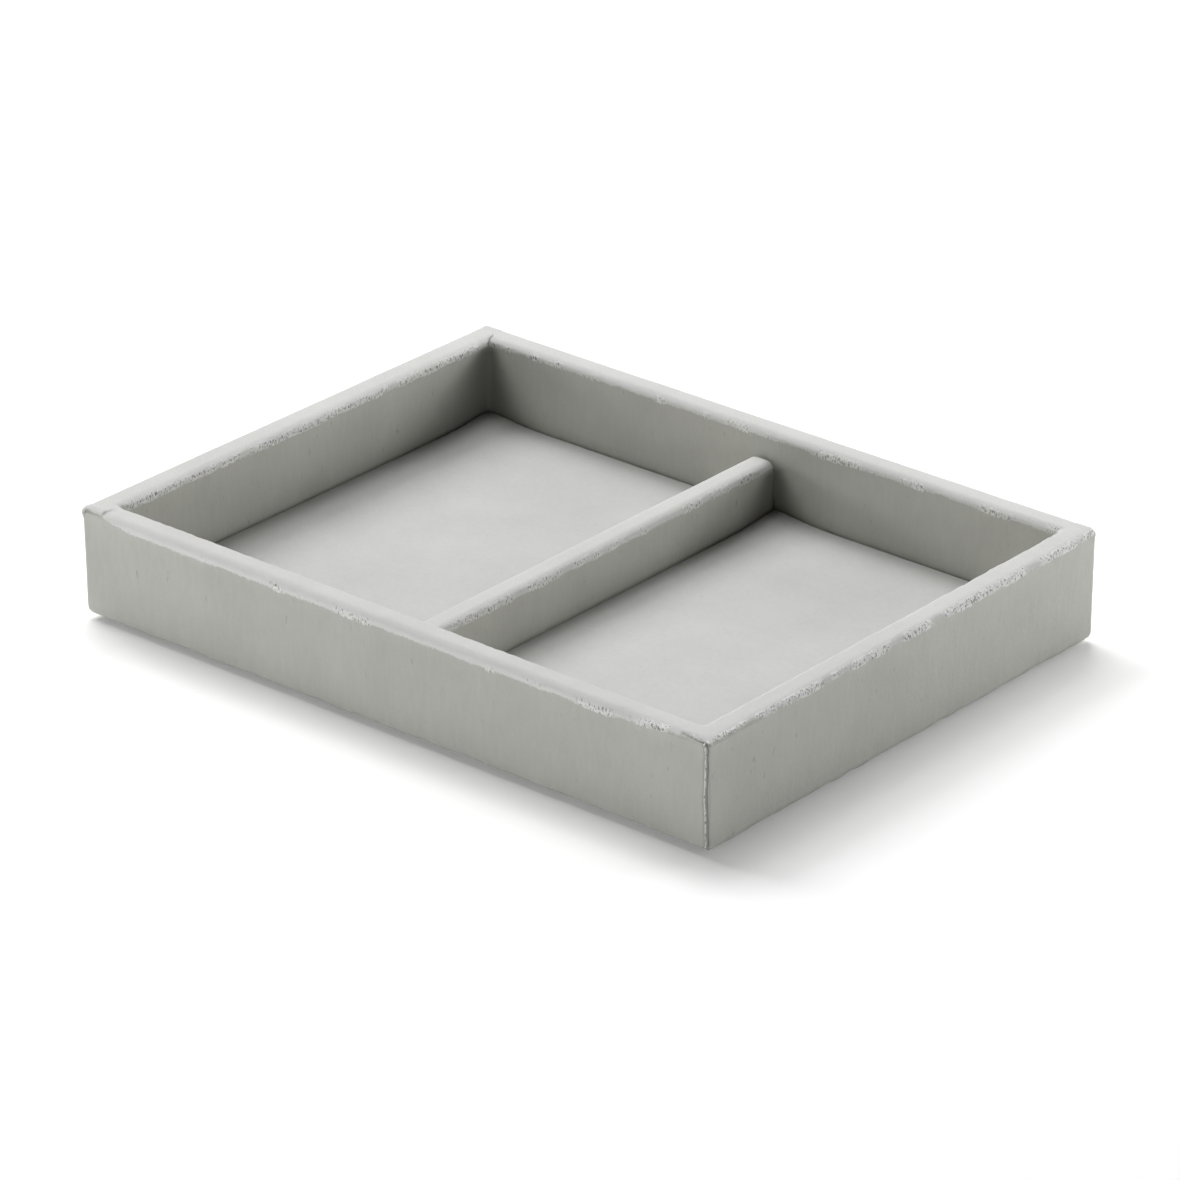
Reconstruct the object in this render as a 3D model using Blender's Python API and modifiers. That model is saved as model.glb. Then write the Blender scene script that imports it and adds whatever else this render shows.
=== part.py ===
"""Divided velvet tray: a shallow rectangular drawer organiser with one low divider.

The walls and the base are thin boards. One band of velvet goes round the outside, is slit at its
corners, folds over the rim and down the inner faces, and turns under the walls as a hem. The divider
is a board in its own velvet, and each compartment has a velvet-covered card as its floor.

Metres, +Z up. The origin is at the middle of the underside. X runs along the long walls, from the
left wall to the right one, and Y from the front wall to the back one.
"""

import math

import bmesh
import bpy
from mathutils import Matrix, Vector

MM = 0.001

# Overall size of the tray
TRAY_LENGTH = 156.4 * MM
TRAY_DEPTH = 121.4 * MM
TRAY_HEIGHT = 24.5 * MM

# Sheet materials
BOARD = 2.5 * MM
VELVET = 1.0 * MM
CARD = 0.9 * MM
COVER = 0.4 * MM
GLUE_LINE = 0.3 * MM

# Divider
DIVIDER_HEIGHT = 18.8 * MM

# Folds of the velvet, measured on its pile side
RIM_RADIUS = 2.1 * MM
DIVIDER_RADIUS = 2.2 * MM
PAD_RADIUS = 1.2 * MM
HEM_WIDTH = 8.0 * MM
FOLD_SEGMENTS = 6

# Underside cover
COVER_INSET = 3.0 * MM
COVER_CORNER = 3.0 * MM

# Butted and slit edges of the velvet band
SEAM_GAP = 0.3 * MM
SEAM_OVERCUT = 1.0 * MM

# What follows from the sizes above
SKIN = VELVET + GLUE_LINE
WALL = SKIN + BOARD + SKIN
HEM_BOTTOM = COVER + GLUE_LINE
BOARD_BOTTOM = HEM_BOTTOM + SKIN
BASE_TOP = BOARD_BOTTOM + BOARD
FLOOR_SEAT = BASE_TOP + GLUE_LINE
FLOOR_TOP = FLOOR_SEAT + CARD + GLUE_LINE + VELVET
WALL_BOARD_TOP = TRAY_HEIGHT - SKIN
WELL_LENGTH = TRAY_LENGTH - 2 * WALL
WELL_DEPTH = TRAY_DEPTH - 2 * WALL
DIVIDER_THICKNESS = WALL

EDGE_ANGLE = math.radians(30)
SMOOTH_ANGLE = math.radians(40)


def clear_scene():
    """Removes what the file already holds."""
    for item in list(bpy.data.objects):
        bpy.data.objects.remove(item)


def new_collection(name):
    """A collection of that name, linked to the scene."""
    collection = bpy.data.collections.new(name)
    bpy.context.scene.collection.children.link(collection)
    return collection


def new_material(name, colour, roughness):
    """A dry, non-metallic Principled material."""
    material = bpy.data.materials.new(name)
    material.use_nodes = True
    shader = material.node_tree.nodes["Principled BSDF"]
    shader.inputs["Base Color"].default_value = (*colour, 1.0)
    shader.inputs["Roughness"].default_value = roughness
    shader.inputs["Metallic"].default_value = 0.0
    material.diffuse_color = (*colour, 1.0)
    return material


def box_mesh(size, centre):
    """A bmesh box of that size about that centre."""
    mesh = bmesh.new()
    place = Matrix.Translation(centre) @ Matrix.Diagonal((*size, 1.0))
    bmesh.ops.create_cube(mesh, size=1.0, matrix=place)
    return mesh


def face_towards(mesh, direction):
    """The face whose normal points most nearly in that direction."""
    mesh.normal_update()
    return max(mesh.faces, key=lambda face: face.normal.dot(Vector(direction)))


def convex_edges(mesh):
    """The edges that stand out as arrises, without those between coplanar faces or in inner corners."""
    mesh.normal_update()
    return [
        edge
        for edge in mesh.edges
        if len(edge.link_faces) == 2 and edge.is_convex and edge.calc_face_angle() > EDGE_ANGLE
    ]


def round_edges(mesh, edges, radius):
    """Rounds those edges to that radius."""
    bmesh.ops.bevel(
        mesh,
        geom=edges,
        offset=radius,
        segments=FOLD_SEGMENTS,
        profile=0.5,
        affect="EDGES",
        clamp_overlap=True,
    )


def add_object(name, mesh, material, collection):
    """Turns a bmesh into a named object, shaded smooth over its folds."""
    data = bpy.data.meshes.new(name)
    mesh.to_mesh(data)
    mesh.free()
    data.shade_smooth()
    data.set_sharp_from_angle(angle=SMOOTH_ANGLE)
    data.materials.append(material)
    item = bpy.data.objects.new(name, data)
    collection.objects.link(item)
    return item


def thicken_inwards(item, thickness):
    """Gives an open surface its thickness, on the side away from its normals."""
    shell = item.modifiers.new("thickness", "SOLIDIFY")
    shell.thickness = thickness
    shell.offset = -1.0
    shell.use_even_offset = True
    shell.use_quality_normals = True


def board(name, size, centre, radius, material, collection):
    """A flat board with its edges eased."""
    mesh = box_mesh(size, centre)
    round_edges(mesh, list(mesh.edges), radius)
    return add_object(name, mesh, material, collection)


def make_boards(material, collection):
    """The base, the four walls and the divider, glued edge to face.

    The short walls run the full depth, the long walls stand between them, and the base lies inside all
    four. Each eased edge is concentric with the fold of the velvet outside it.
    """
    eased = RIM_RADIUS - SKIN
    wall_height = WALL_BOARD_TOP - BOARD_BOTTOM
    wall_middle = BOARD_BOTTOM + wall_height / 2
    inside_length = TRAY_LENGTH - 2 * (SKIN + BOARD + GLUE_LINE)
    inside_depth = TRAY_DEPTH - 2 * (SKIN + BOARD + GLUE_LINE)
    board_x = TRAY_LENGTH / 2 - SKIN - BOARD / 2
    board_y = TRAY_DEPTH / 2 - SKIN - BOARD / 2

    short_wall = (BOARD, TRAY_DEPTH - 2 * SKIN, wall_height)
    board("left_wall_board", short_wall, (-board_x, 0, wall_middle), eased, material, collection)
    board("right_wall_board", short_wall, (board_x, 0, wall_middle), eased, material, collection)

    long_wall = (inside_length, BOARD, wall_height)
    board("front_wall_board", long_wall, (0, -board_y, wall_middle), eased, material, collection)
    board("back_wall_board", long_wall, (0, board_y, wall_middle), eased, material, collection)

    base = (inside_length, inside_depth, BOARD)
    board("base_board", base, (0, 0, BOARD_BOTTOM + BOARD / 2), eased, material, collection)

    divider_top = DIVIDER_HEIGHT - SKIN
    divider = (BOARD, WELL_DEPTH - 2 * (GLUE_LINE + SKIN), divider_top - FLOOR_SEAT)
    divider_centre = (0, 0, (FLOOR_SEAT + divider_top) / 2)
    divider_eased = DIVIDER_RADIUS - SKIN
    board("divider_board", divider, divider_centre, divider_eased, material, collection)


def open_box(size, centre, radius):
    """A box with no bottom, its edges rounded: the outer face of a sheet folded over a board."""
    mesh = box_mesh(size, centre)
    bottom = face_towards(mesh, (0, 0, -1))
    bmesh.ops.delete(mesh, geom=[bottom], context="FACES_ONLY")
    round_edges(mesh, convex_edges(mesh), radius)
    return mesh


def make_divider_velvet(material, collection):
    """The velvet folded over the divider's top, sides and ends, open at the foot."""
    size = (DIVIDER_THICKNESS, WELL_DEPTH - 2 * GLUE_LINE, DIVIDER_HEIGHT - FLOOR_SEAT)
    centre = (0, 0, (FLOOR_SEAT + DIVIDER_HEIGHT) / 2)
    mesh = open_box(size, centre, DIVIDER_RADIUS)
    item = add_object("divider_velvet", mesh, material, collection)
    thicken_inwards(item, VELVET)


def make_floor_pad(side, x_low, x_high, velvet, card, collection):
    """One compartment's floor: a card with velvet folded over its edges, dropped between the walls."""
    length = x_high - x_low - 2 * GLUE_LINE
    depth = WELL_DEPTH - 2 * GLUE_LINE
    middle = (x_low + x_high) / 2

    pad_size = (length, depth, FLOOR_TOP - FLOOR_SEAT)
    pad_centre = (middle, 0, (FLOOR_SEAT + FLOOR_TOP) / 2)
    cloth = open_box(pad_size, pad_centre, PAD_RADIUS)
    item = add_object(side + "_floor_velvet", cloth, velvet, collection)
    thicken_inwards(item, VELVET)

    card_size = (length - 2 * SKIN, depth - 2 * SKIN, CARD)
    sheet = box_mesh(card_size, (middle, 0, FLOOR_SEAT + CARD / 2))
    add_object(side + "_floor_card", sheet, card, collection)


def make_underside_cover(material, collection):
    """The thin sheet that hides the hems and that the tray stands on."""
    size = (TRAY_LENGTH - 2 * COVER_INSET, TRAY_DEPTH - 2 * COVER_INSET, COVER)
    mesh = box_mesh(size, (0, 0, COVER / 2))
    upright = [edge for edge in mesh.edges if abs(edge.verts[0].co.z - edge.verts[1].co.z) > COVER / 2]
    round_edges(mesh, upright, COVER_CORNER)
    add_object("underside_cover", mesh, material, collection)


def band_surface():
    """The pile side of the velvet band as an open surface: hem, outer faces, rim and inner faces."""
    height = TRAY_HEIGHT - HEM_BOTTOM
    centre = (0, 0, HEM_BOTTOM + height / 2)
    mesh = box_mesh((TRAY_LENGTH, TRAY_DEPTH, height), centre)

    mouth = face_towards(mesh, (0, 0, 1))
    bmesh.ops.inset_region(mesh, faces=[mouth], thickness=WALL, use_even_offset=True)
    drop = Vector((0, 0, FLOOR_SEAT - TRAY_HEIGHT))
    pushed = bmesh.ops.extrude_face_region(mesh, geom=[mouth])["geom"]
    floor_points = [part for part in pushed if isinstance(part, bmesh.types.BMVert)]
    bmesh.ops.translate(mesh, vec=drop, verts=floor_points)
    floor = [part for part in pushed if isinstance(part, bmesh.types.BMFace)]
    bmesh.ops.delete(mesh, geom=floor, context="FACES_ONLY")
    if mouth.is_valid:
        bmesh.ops.delete(mesh, geom=[mouth], context="FACES_ONLY")

    underside = face_towards(mesh, (0, 0, -1))
    bmesh.ops.inset_region(mesh, faces=[underside], thickness=HEM_WIDTH, use_even_offset=True)
    bmesh.ops.delete(mesh, geom=[underside], context="FACES_ONLY")

    round_edges(mesh, convex_edges(mesh), RIM_RADIUS)
    return mesh


def seam_cutter(name, size, centre, turn, cutters):
    """A thin block that opens one seam of the band."""
    data = bpy.data.meshes.new(name)
    mesh = box_mesh(size, (0, 0, 0))
    mesh.to_mesh(data)
    mesh.free()
    item = bpy.data.objects.new(name, data)
    item.location = centre
    item.rotation_euler = (0, 0, turn)
    item.hide_render = True
    item.display_type = "WIRE"
    cutters.objects.link(item)


def corner_cutters(side_x, side_y, cutters):
    """The slits at one corner of the band.

    The short wall's flap covers the corner of the rim as a cap, and the long wall's flap stops beside
    it. Below the rim the band goes round the corner in one piece. The two flaps butt down the inner
    corner, and the hem is mitred.
    """
    name = ("right" if side_x > 0 else "left") + ("_back" if side_y > 0 else "_front")
    corner_x = side_x * TRAY_LENGTH / 2
    corner_y = side_y * TRAY_DEPTH / 2
    inner_x = corner_x - side_x * WALL
    inner_y = corner_y - side_y * WALL
    shoulder = TRAY_HEIGHT - RIM_RADIUS
    cut_depth = VELVET + SEAM_OVERCUT + GLUE_LINE / 2

    seam_cutter(
        name + "_cap_edge",
        (WALL + SEAM_OVERCUT, cut_depth, SEAM_GAP),
        (
            corner_x - side_x * (WALL - SEAM_OVERCUT) / 2,
            corner_y - side_y * (cut_depth / 2 - SEAM_OVERCUT),
            shoulder,
        ),
        0,
        cutters,
    )
    rise = RIM_RADIUS + SEAM_GAP / 2 + SEAM_OVERCUT
    seam_cutter(
        name + "_rim_slit",
        (SEAM_GAP, WALL + SEAM_OVERCUT, rise),
        (
            inner_x,
            corner_y - side_y * (WALL - SEAM_OVERCUT) / 2,
            TRAY_HEIGHT + SEAM_OVERCUT - rise / 2,
        ),
        0,
        cutters,
    )
    inner_low = FLOOR_SEAT - SEAM_OVERCUT
    inner_high = TRAY_HEIGHT + SEAM_OVERCUT
    diagonal = math.atan2(side_y, side_x)
    inner_reach = 2 * (VELVET + GLUE_LINE / 2) * math.sqrt(2)
    seam_cutter(
        name + "_inner_corner",
        (inner_reach, SEAM_GAP, inner_high - inner_low),
        (inner_x, inner_y, (inner_low + inner_high) / 2),
        diagonal,
        cutters,
    )
    mitre_length = (HEM_WIDTH - VELVET) * math.sqrt(2)
    mitre_middle = HEM_WIDTH / 2 + VELVET / 2
    mitre_x = corner_x - side_x * mitre_middle
    mitre_y = corner_y - side_y * mitre_middle
    seam_cutter(
        name + "_hem_mitre",
        (mitre_length + SEAM_OVERCUT, SEAM_GAP, VELVET + GLUE_LINE),
        (mitre_x, mitre_y, HEM_BOTTOM + VELVET / 2),
        diagonal,
        cutters,
    )


def closing_seam_cutter(cutters):
    """The upright seam at the front right corner, where the two ends of the band meet."""
    low = HEM_BOTTOM - SEAM_OVERCUT
    high = TRAY_HEIGHT - RIM_RADIUS
    reach = 2 * (VELVET + GLUE_LINE / 2) * math.sqrt(2)
    seam_cutter(
        "closing_seam",
        (reach + SEAM_OVERCUT, SEAM_GAP, high - low),
        (TRAY_LENGTH / 2 - VELVET / 2, -TRAY_DEPTH / 2 + VELVET / 2, (low + high) / 2),
        math.atan2(-1, 1),
        cutters,
    )


def make_wall_velvet(material, collection, cutters):
    """The one band of velvet that covers all four walls, with its seams cut open."""
    item = add_object("wall_velvet", band_surface(), material, collection)
    thicken_inwards(item, VELVET)
    closing_seam_cutter(cutters)
    for side_x in (-1, 1):
        for side_y in (-1, 1):
            corner_cutters(side_x, side_y, cutters)
    cut = item.modifiers.new("seams", "BOOLEAN")
    cut.operation = "DIFFERENCE"
    cut.operand_type = "COLLECTION"
    cut.collection = cutters


def main():
    """Builds the tray."""
    clear_scene()
    parts = new_collection("divided_velvet_tray")
    cutters = new_collection("seam_cutters")

    velvet = new_material("grey_velvet", (0.60, 0.60, 0.58), 0.95)
    fibreboard = new_material("fibreboard", (0.42, 0.32, 0.22), 0.85)
    card = new_material("grey_card", (0.38, 0.37, 0.35), 0.9)
    felt = new_material("grey_felt", (0.45, 0.45, 0.44), 0.95)

    make_boards(fibreboard, parts)
    make_wall_velvet(velvet, parts, cutters)
    make_divider_velvet(velvet, parts)
    make_floor_pad("left", -WELL_LENGTH / 2, -DIVIDER_THICKNESS / 2, velvet, card, parts)
    make_floor_pad("right", DIVIDER_THICKNESS / 2, WELL_LENGTH / 2, velvet, card, parts)
    make_underside_cover(felt, parts)


main()
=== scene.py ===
"""The looks of the divided velvet tray: velvet wraps, boards, the cover below and a plain studio.

Everything is in metres, +Z up, with the origin in the middle of the underside, as in the frame.
"""

import logging
import math
from dataclasses import dataclass
from enum import Enum

import bpy
import numpy as np
from mathutils import Matrix, Vector


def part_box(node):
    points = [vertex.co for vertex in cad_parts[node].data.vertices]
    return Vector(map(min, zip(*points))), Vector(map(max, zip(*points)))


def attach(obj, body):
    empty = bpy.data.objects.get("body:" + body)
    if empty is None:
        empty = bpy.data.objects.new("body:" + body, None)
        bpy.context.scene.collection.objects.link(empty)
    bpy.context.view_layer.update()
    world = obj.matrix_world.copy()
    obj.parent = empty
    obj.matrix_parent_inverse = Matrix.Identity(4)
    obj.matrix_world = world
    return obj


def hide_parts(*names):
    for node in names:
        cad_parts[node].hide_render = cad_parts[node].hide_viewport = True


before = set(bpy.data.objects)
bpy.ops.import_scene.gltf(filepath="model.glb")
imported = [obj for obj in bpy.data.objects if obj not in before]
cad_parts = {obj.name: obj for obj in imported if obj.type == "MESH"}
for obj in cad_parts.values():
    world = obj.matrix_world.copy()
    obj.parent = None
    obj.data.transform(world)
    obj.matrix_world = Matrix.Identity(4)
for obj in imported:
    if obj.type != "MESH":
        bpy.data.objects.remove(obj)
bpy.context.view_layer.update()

LOG = logging.getLogger("tray")
MM = 0.001
FAN_ATTRIBUTE = "fan"
# The attribute that carries painted shade: seams, grooves and corners darkened in colour where shade
# falls.
SHADE_ATTRIBUTE = "painted_shade"
FRAY_ATTRIBUTE = "fray"
LEVEL_PILE = -3.0
SHOULDER_DEPTH = 0.8 * MM
SHOULDER_SPREAD = 1.5 * MM
FRAYED_SPREAD = 0.8 * MM
LEAST_RADIUS = 0.05 * MM
# Sizes of the painted shadow that darkens the pile in an upright inner corner.
CORNER_SHADOW_WIDTH = (1.4 * MM, 1.6 * MM)
CORNER_SHADOW_SPREAD = (0.42, 0.95)
CORNER_SHADOW_START = (0.9 * MM, 3.0 * MM)
CORNER_SHADOW_SIDE = (-1.2 * MM, -0.2 * MM)


class Slot(Enum):
    """The material slots."""

    VELVET = "grey_velvet"
    BOARD = "fibreboard"
    CARD = "grey_card"
    FELT = "grey_felt"


class Hold(Enum):
    """How a sheet of velvet is held."""

    FOLDED = "folded"


# Numbers on arrays


def smooth_step(values: np.ndarray, low: float, high: float) -> np.ndarray:
    """Rises from 0 to 1 between two values, level at both ends.

    Args:
        values: Where to read the step.
        low: The value where it leaves 0.
        high: The value where it reaches 1. It may lie below low, and the step then falls.

    Returns:
        3t^2 - 2t^3, with t the clipped share of the way from low to high.
    """
    share = np.clip((values - low) / (high - low), 0.0, 1.0)
    return share * share * (3.0 - 2.0 * share)


def bell(values: np.ndarray, width: float) -> np.ndarray:
    """A rounded hump, exp of minus the square of value over width."""
    return np.exp(-((values / width) ** 2))


def shoulder_bell(below: np.ndarray) -> np.ndarray:
    """A bell over the depth below a fold's top, highest a little way down its shoulder."""
    return bell(below - SHOULDER_DEPTH, SHOULDER_SPREAD)


def lattice_hash(cells: np.ndarray, seed: int) -> np.ndarray:
    """A repeatable number from -1 to 1 for each whole-numbered cell.

    Args:
        cells: Whole numbers, with x, y and z in the last axis.
        seed: Chooses one of many unlike patterns.

    Returns:
        One number for each cell, mixed from its three coordinates by odd multipliers and shifts.
    """
    mixed = cells.astype(np.int64) @ np.array([73856093, 19349663, 83492791]) + seed * 2654435761
    mixed = (mixed ^ (mixed >> 13)) * 1274126177 & 0x7FFFFFFF
    mixed = (mixed ^ (mixed >> 15)) * 668265263 & 0x7FFFFFFF
    return mixed / 0x3FFFFFFF - 1.0


def soft_noise(points: np.ndarray, grain: float, seed: int) -> np.ndarray:
    """Smooth random values in space, about one hump for each grain length.

    Args:
        points: Places in metres, one to a row.
        grain: The lattice spacing in metres.
        seed: Chooses the pattern.

    Returns:
        The hashes of the eight cell corners about each place, blended with eased weights.
    """
    scaled = points / grain
    cell = np.floor(scaled)
    share = scaled - cell
    share = share * share * (3.0 - 2.0 * share)
    total = np.zeros(len(points))
    for corner in np.ndindex(2, 2, 2):
        step = np.array(corner)
        weight = np.prod(np.where(step == 1, share, 1.0 - share), axis=1)
        total += weight * lattice_hash(cell + step, seed)
    return total


def graded_steps(length: float, margin: float, count: int, coarse: float) -> np.ndarray:
    """Places along a length, close together near both ends.

    Args:
        length: The whole length.
        margin: How far the close spacing reaches from each end.
        count: Steps in each margin, which widen away from the end.
        coarse: The spacing between the margins.

    Returns:
        Rising places from 0 to length.
    """
    widening = 1.25
    near = margin * np.linspace(0.0, 1.0, count + 1) ** widening
    middle = length - 2 * margin
    far = np.linspace(margin, margin + middle, max(2, round(middle / coarse) + 1))
    return np.concatenate([near[:-1], far[:-1], length - near[::-1]])


def painted_corner_shadow(points: np.ndarray, corner: tuple[float, float], top: float) -> np.ndarray:
    """How dark the painted shadow is about one upright inner corner.

    It is a flat-topped bell about the corner, whose widths along x and y grow with the depth below
    the rim. It starts a little below the rim and lies to the right of the corner only.

    Args:
        points: The pile's places.
        corner: The corner's place in plan.
        top: Height of the rim above it.

    Returns:
        From 0 to 1 for each point.
    """
    flatness = 1.4
    below = top - points[:, 2]
    away = points[:, :2] - np.array(corner)
    width = np.array(CORNER_SHADOW_WIDTH) + np.outer(np.maximum(below, 0.0), CORNER_SHADOW_SPREAD)
    near = bell(np.linalg.norm(away / width, axis=1) ** flatness, 1.0)
    return near * smooth_step(below, *CORNER_SHADOW_START) * smooth_step(away[:, 0], *CORNER_SHADOW_SIDE)


# Meshes


@dataclass
class Surface:
    """Points and quads of one closed surface, on their way to a mesh.

    Attributes:
        points: One place to a row.
        quads: Four point numbers to a row, anticlockwise seen from outside.
        pile: 1 where a point is on the pile side, 0 on the backing.
        fan: How far a point lies within the pale, fanned pile of a fold, in millimetres. It is
            negative outside it.
        painted_shade: From 0 to 1, how dark the painted shade is, in seams, grooves and shadowed
            corners.
        fray: From 0 to 1, how much of the fold's pale line is frayed.
    """

    points: np.ndarray
    quads: np.ndarray
    pile: np.ndarray
    fan: np.ndarray
    painted_shade: np.ndarray
    fray: np.ndarray

    def normals(self) -> np.ndarray:
        """Works out the outward normal at each point.

        Returns:
            The sum of the cross products of its quads' diagonals, made one unit long.
        """
        corners = self.points[self.quads]
        faces = np.cross(corners[:, 2] - corners[:, 0], corners[:, 3] - corners[:, 1])
        total = np.zeros_like(self.points)
        for column in range(4):
            np.add.at(total, self.quads[:, column], faces)
        return total / np.maximum(np.linalg.norm(total, axis=1, keepdims=True), 1e-15)

    def raise_pile(self, amount: np.ndarray) -> None:
        """Moves the pile side along its normals.

        Args:
            amount: How far each point moves, in metres.
        """
        self.points = self.points + self.normals() * (amount * self.pile)[:, None]

    def spread_pile(self, amount: np.ndarray) -> None:
        """Moves the pile side along its normals, but only level, so that no top is raised.

        Args:
            amount: How far each point of an upright face moves, in metres.
        """
        self.points[:, :2] += self.normals()[:, :2] * (amount * self.pile)[:, None]

    def to_object(self, name: str) -> bpy.types.Object:
        """Makes the mesh object, at the origin and shaded smooth.

        Args:
            name: The object's name.

        Returns:
            The new object, linked to the scene.
        """
        data = bpy.data.meshes.new(name)
        count = len(self.quads)
        data.vertices.add(len(self.points))
        data.vertices.foreach_set("co", self.points.astype(np.float32).ravel())
        data.loops.add(4 * count)
        data.loops.foreach_set("vertex_index", self.quads.astype(np.int32).ravel())
        data.polygons.add(count)
        data.polygons.foreach_set("loop_start", np.arange(0, 4 * count, 4, dtype=np.int32))
        data.update(calc_edges=True)
        data.validate()
        fan = np.where(self.pile > 0, np.clip(self.fan, LEVEL_PILE, -LEVEL_PILE), LEVEL_PILE)
        attributes = {FAN_ATTRIBUTE: fan, SHADE_ATTRIBUTE: self.painted_shade, FRAY_ATTRIBUTE: self.fray}
        for label, values in attributes.items():
            layer = data.attributes.new(label, "FLOAT", "POINT")
            layer.data.foreach_set("value", values.astype(np.float32))
        data.shade_smooth()
        item = bpy.data.objects.new(name, data)
        bpy.context.scene.collection.objects.link(item)
        return item


def quads_between(first: np.ndarray, second: np.ndarray) -> np.ndarray:
    """Quads that join two closed loops of as many points, first to second."""
    return np.stack([first, np.roll(first, -1), np.roll(second, -1), second], axis=1)


def ring_quads(columns: int, rows: int) -> np.ndarray:
    """The quads of a grid that closes on itself both ways.

    Args:
        columns: Points round the long way.
        rows: Points round the short way.

    Returns:
        Quads over point numbers column * rows + row.
    """
    column, row = np.meshgrid(np.arange(columns), np.arange(rows), indexing="ij")
    after = (column + 1) % columns
    above = (row + 1) % rows
    corners = [column * rows + row, after * rows + row, after * rows + above, column * rows + above]
    return np.stack(corners, axis=-1).reshape(-1, 4)


# Finishes


@dataclass(frozen=True)
class NodeBench:
    """A material's node tree, with short ways to add and join nodes."""

    material: bpy.types.Material

    def add(self, kind: str, **settings: object) -> bpy.types.Node:
        """Adds a node and sets its properties.

        Args:
            kind: The node's type name.
            settings: Properties to set on it.

        Returns:
            The new node.
        """
        node = self.material.node_tree.nodes.new(kind)
        for name, value in settings.items():
            setattr(node, name, value)
        return node

    def join(self, source: bpy.types.NodeSocket, target: bpy.types.NodeSocket) -> None:
        """Links an output to an input."""
        self.material.node_tree.links.new(source, target)

    def noise(self, stretch: tuple[float, float, float], detail: float) -> bpy.types.NodeSocket:
        """Noise over object coordinates.

        Args:
            stretch: Humps to a metre along x, y and z.
            detail: The noise's detail.

        Returns:
            The noise's value, 0 to 1.
        """
        place = self.add("ShaderNodeTexCoord")
        mapping = self.add("ShaderNodeMapping")
        mapping.inputs["Scale"].default_value = stretch
        noise = self.add("ShaderNodeTexNoise")
        noise.inputs["Scale"].default_value = 1.0
        noise.inputs["Detail"].default_value = detail
        self.join(place.outputs["Object"], mapping.inputs["Vector"])
        self.join(mapping.outputs["Vector"], noise.inputs["Vector"])
        return noise.outputs["Fac"]

    def attribute(self, name: str) -> bpy.types.NodeSocket:
        """The value of a mesh attribute."""
        return self.add("ShaderNodeAttribute", attribute_name=name).outputs["Fac"]

    def upright(self) -> bpy.types.NodeSocket:
        """How far the piece's own surface faces up.

        Returns:
            The height of its unit normal: 1 on a level top, 0 on an upright face.
        """
        split = self.add("ShaderNodeSeparateXYZ")
        self.join(self.add("ShaderNodeTexCoord").outputs["Normal"], split.inputs["Vector"])
        return split.outputs["Z"]

    def plain(self, colour: tuple[float, float, float]) -> bpy.types.NodeSocket:
        """One colour everywhere.

        Args:
            colour: Red, green and blue.

        Returns:
            The colour's socket.
        """
        single = self.add("ShaderNodeRGB")
        single.outputs["Color"].default_value = (*colour, 1.0)
        return single.outputs["Color"]

    def number(self, operation: str, *terms: bpy.types.NodeSocket | float) -> bpy.types.NodeSocket:
        """One step of arithmetic on values and constants.

        Args:
            operation: The step's name, such as ADD.
            terms: What it works on, in order.

        Returns:
            The step's result.
        """
        step = self.add("ShaderNodeMath", operation=operation)
        for socket, term in zip(step.inputs, terms):
            if isinstance(term, float):
                socket.default_value = term
            else:
                self.join(term, socket)
        return step.outputs["Value"]

    def ramp(self, value: bpy.types.NodeSocket, low: float, high: float) -> bpy.types.NodeSocket:
        """Rises smoothly from 0 to 1 between two values.

        Args:
            value: The value to read.
            low: Where the rise starts.
            high: Where it ends. It may lie below low.

        Returns:
            The share, 0 to 1.
        """
        rise = self.add("ShaderNodeMapRange", interpolation_type="SMOOTHSTEP")
        self.join(value, rise.inputs["Value"])
        rise.inputs["From Min"].default_value = low
        rise.inputs["From Max"].default_value = high
        return rise.outputs["Result"]

    def mix(
        self,
        share: bpy.types.NodeSocket,
        first: bpy.types.NodeSocket,
        second: bpy.types.NodeSocket,
    ) -> bpy.types.NodeSocket:
        """Goes from one colour to another.

        Args:
            share: How much of the second colour, 0 to 1.
            first: The colour at 0.
            second: The colour at 1.

        Returns:
            The mixed colour.
        """
        blend = self.add("ShaderNodeMix", data_type="RGBA")
        self.join(share, blend.inputs["Factor"])
        self.join(first, blend.inputs["A"])
        self.join(second, blend.inputs["B"])
        return blend.outputs["Result"]

    def mean(
        self, first: bpy.types.NodeSocket, second: bpy.types.NodeSocket
    ) -> bpy.types.NodeSocket:
        """Halfway between two values.

        Args:
            first: One value.
            second: The other value.

        Returns:
            Their mean.
        """
        blend = self.add("ShaderNodeMix", data_type="FLOAT")
        blend.inputs["Factor"].default_value = 0.5
        self.join(first, blend.inputs["A"])
        self.join(second, blend.inputs["B"])
        return blend.outputs["Result"]

    def blend(
        self, share: bpy.types.NodeSocket, low: tuple[float, ...], high: tuple[float, ...]
    ) -> bpy.types.NodeSocket:
        """A colour ramp over the middle of the share's range, where noise mostly lies.

        Args:
            share: Where to read the ramp, 0 to 1.
            low: The colour at its low end.
            high: The colour at its high end.

        Returns:
            The ramp's colour.
        """
        ramp = self.add("ShaderNodeValToRGB")
        ends = ((0.3, low), (0.7, high))
        for element, (position, colour) in zip(ramp.color_ramp.elements, ends):
            element.position = position
            element.color = (*colour, 1.0)
        self.join(share, ramp.inputs["Fac"])
        return ramp.outputs["Color"]

    def bump(
        self, shader: bpy.types.Node, height: bpy.types.NodeSocket, strength: float, distance: float
    ) -> None:
        """Gives a shader a fine relief.

        Args:
            shader: The shader whose normal is bent.
            height: The relief's height, about 0 to 1.
            strength: How much of the relief shows.
            distance: The height in metres that 1 stands for.
        """
        bump = self.add("ShaderNodeBump")
        bump.inputs["Strength"].default_value = strength
        bump.inputs["Distance"].default_value = distance
        self.join(height, bump.inputs["Height"])
        self.join(bump.outputs["Normal"], shader.inputs["Normal"])


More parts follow.
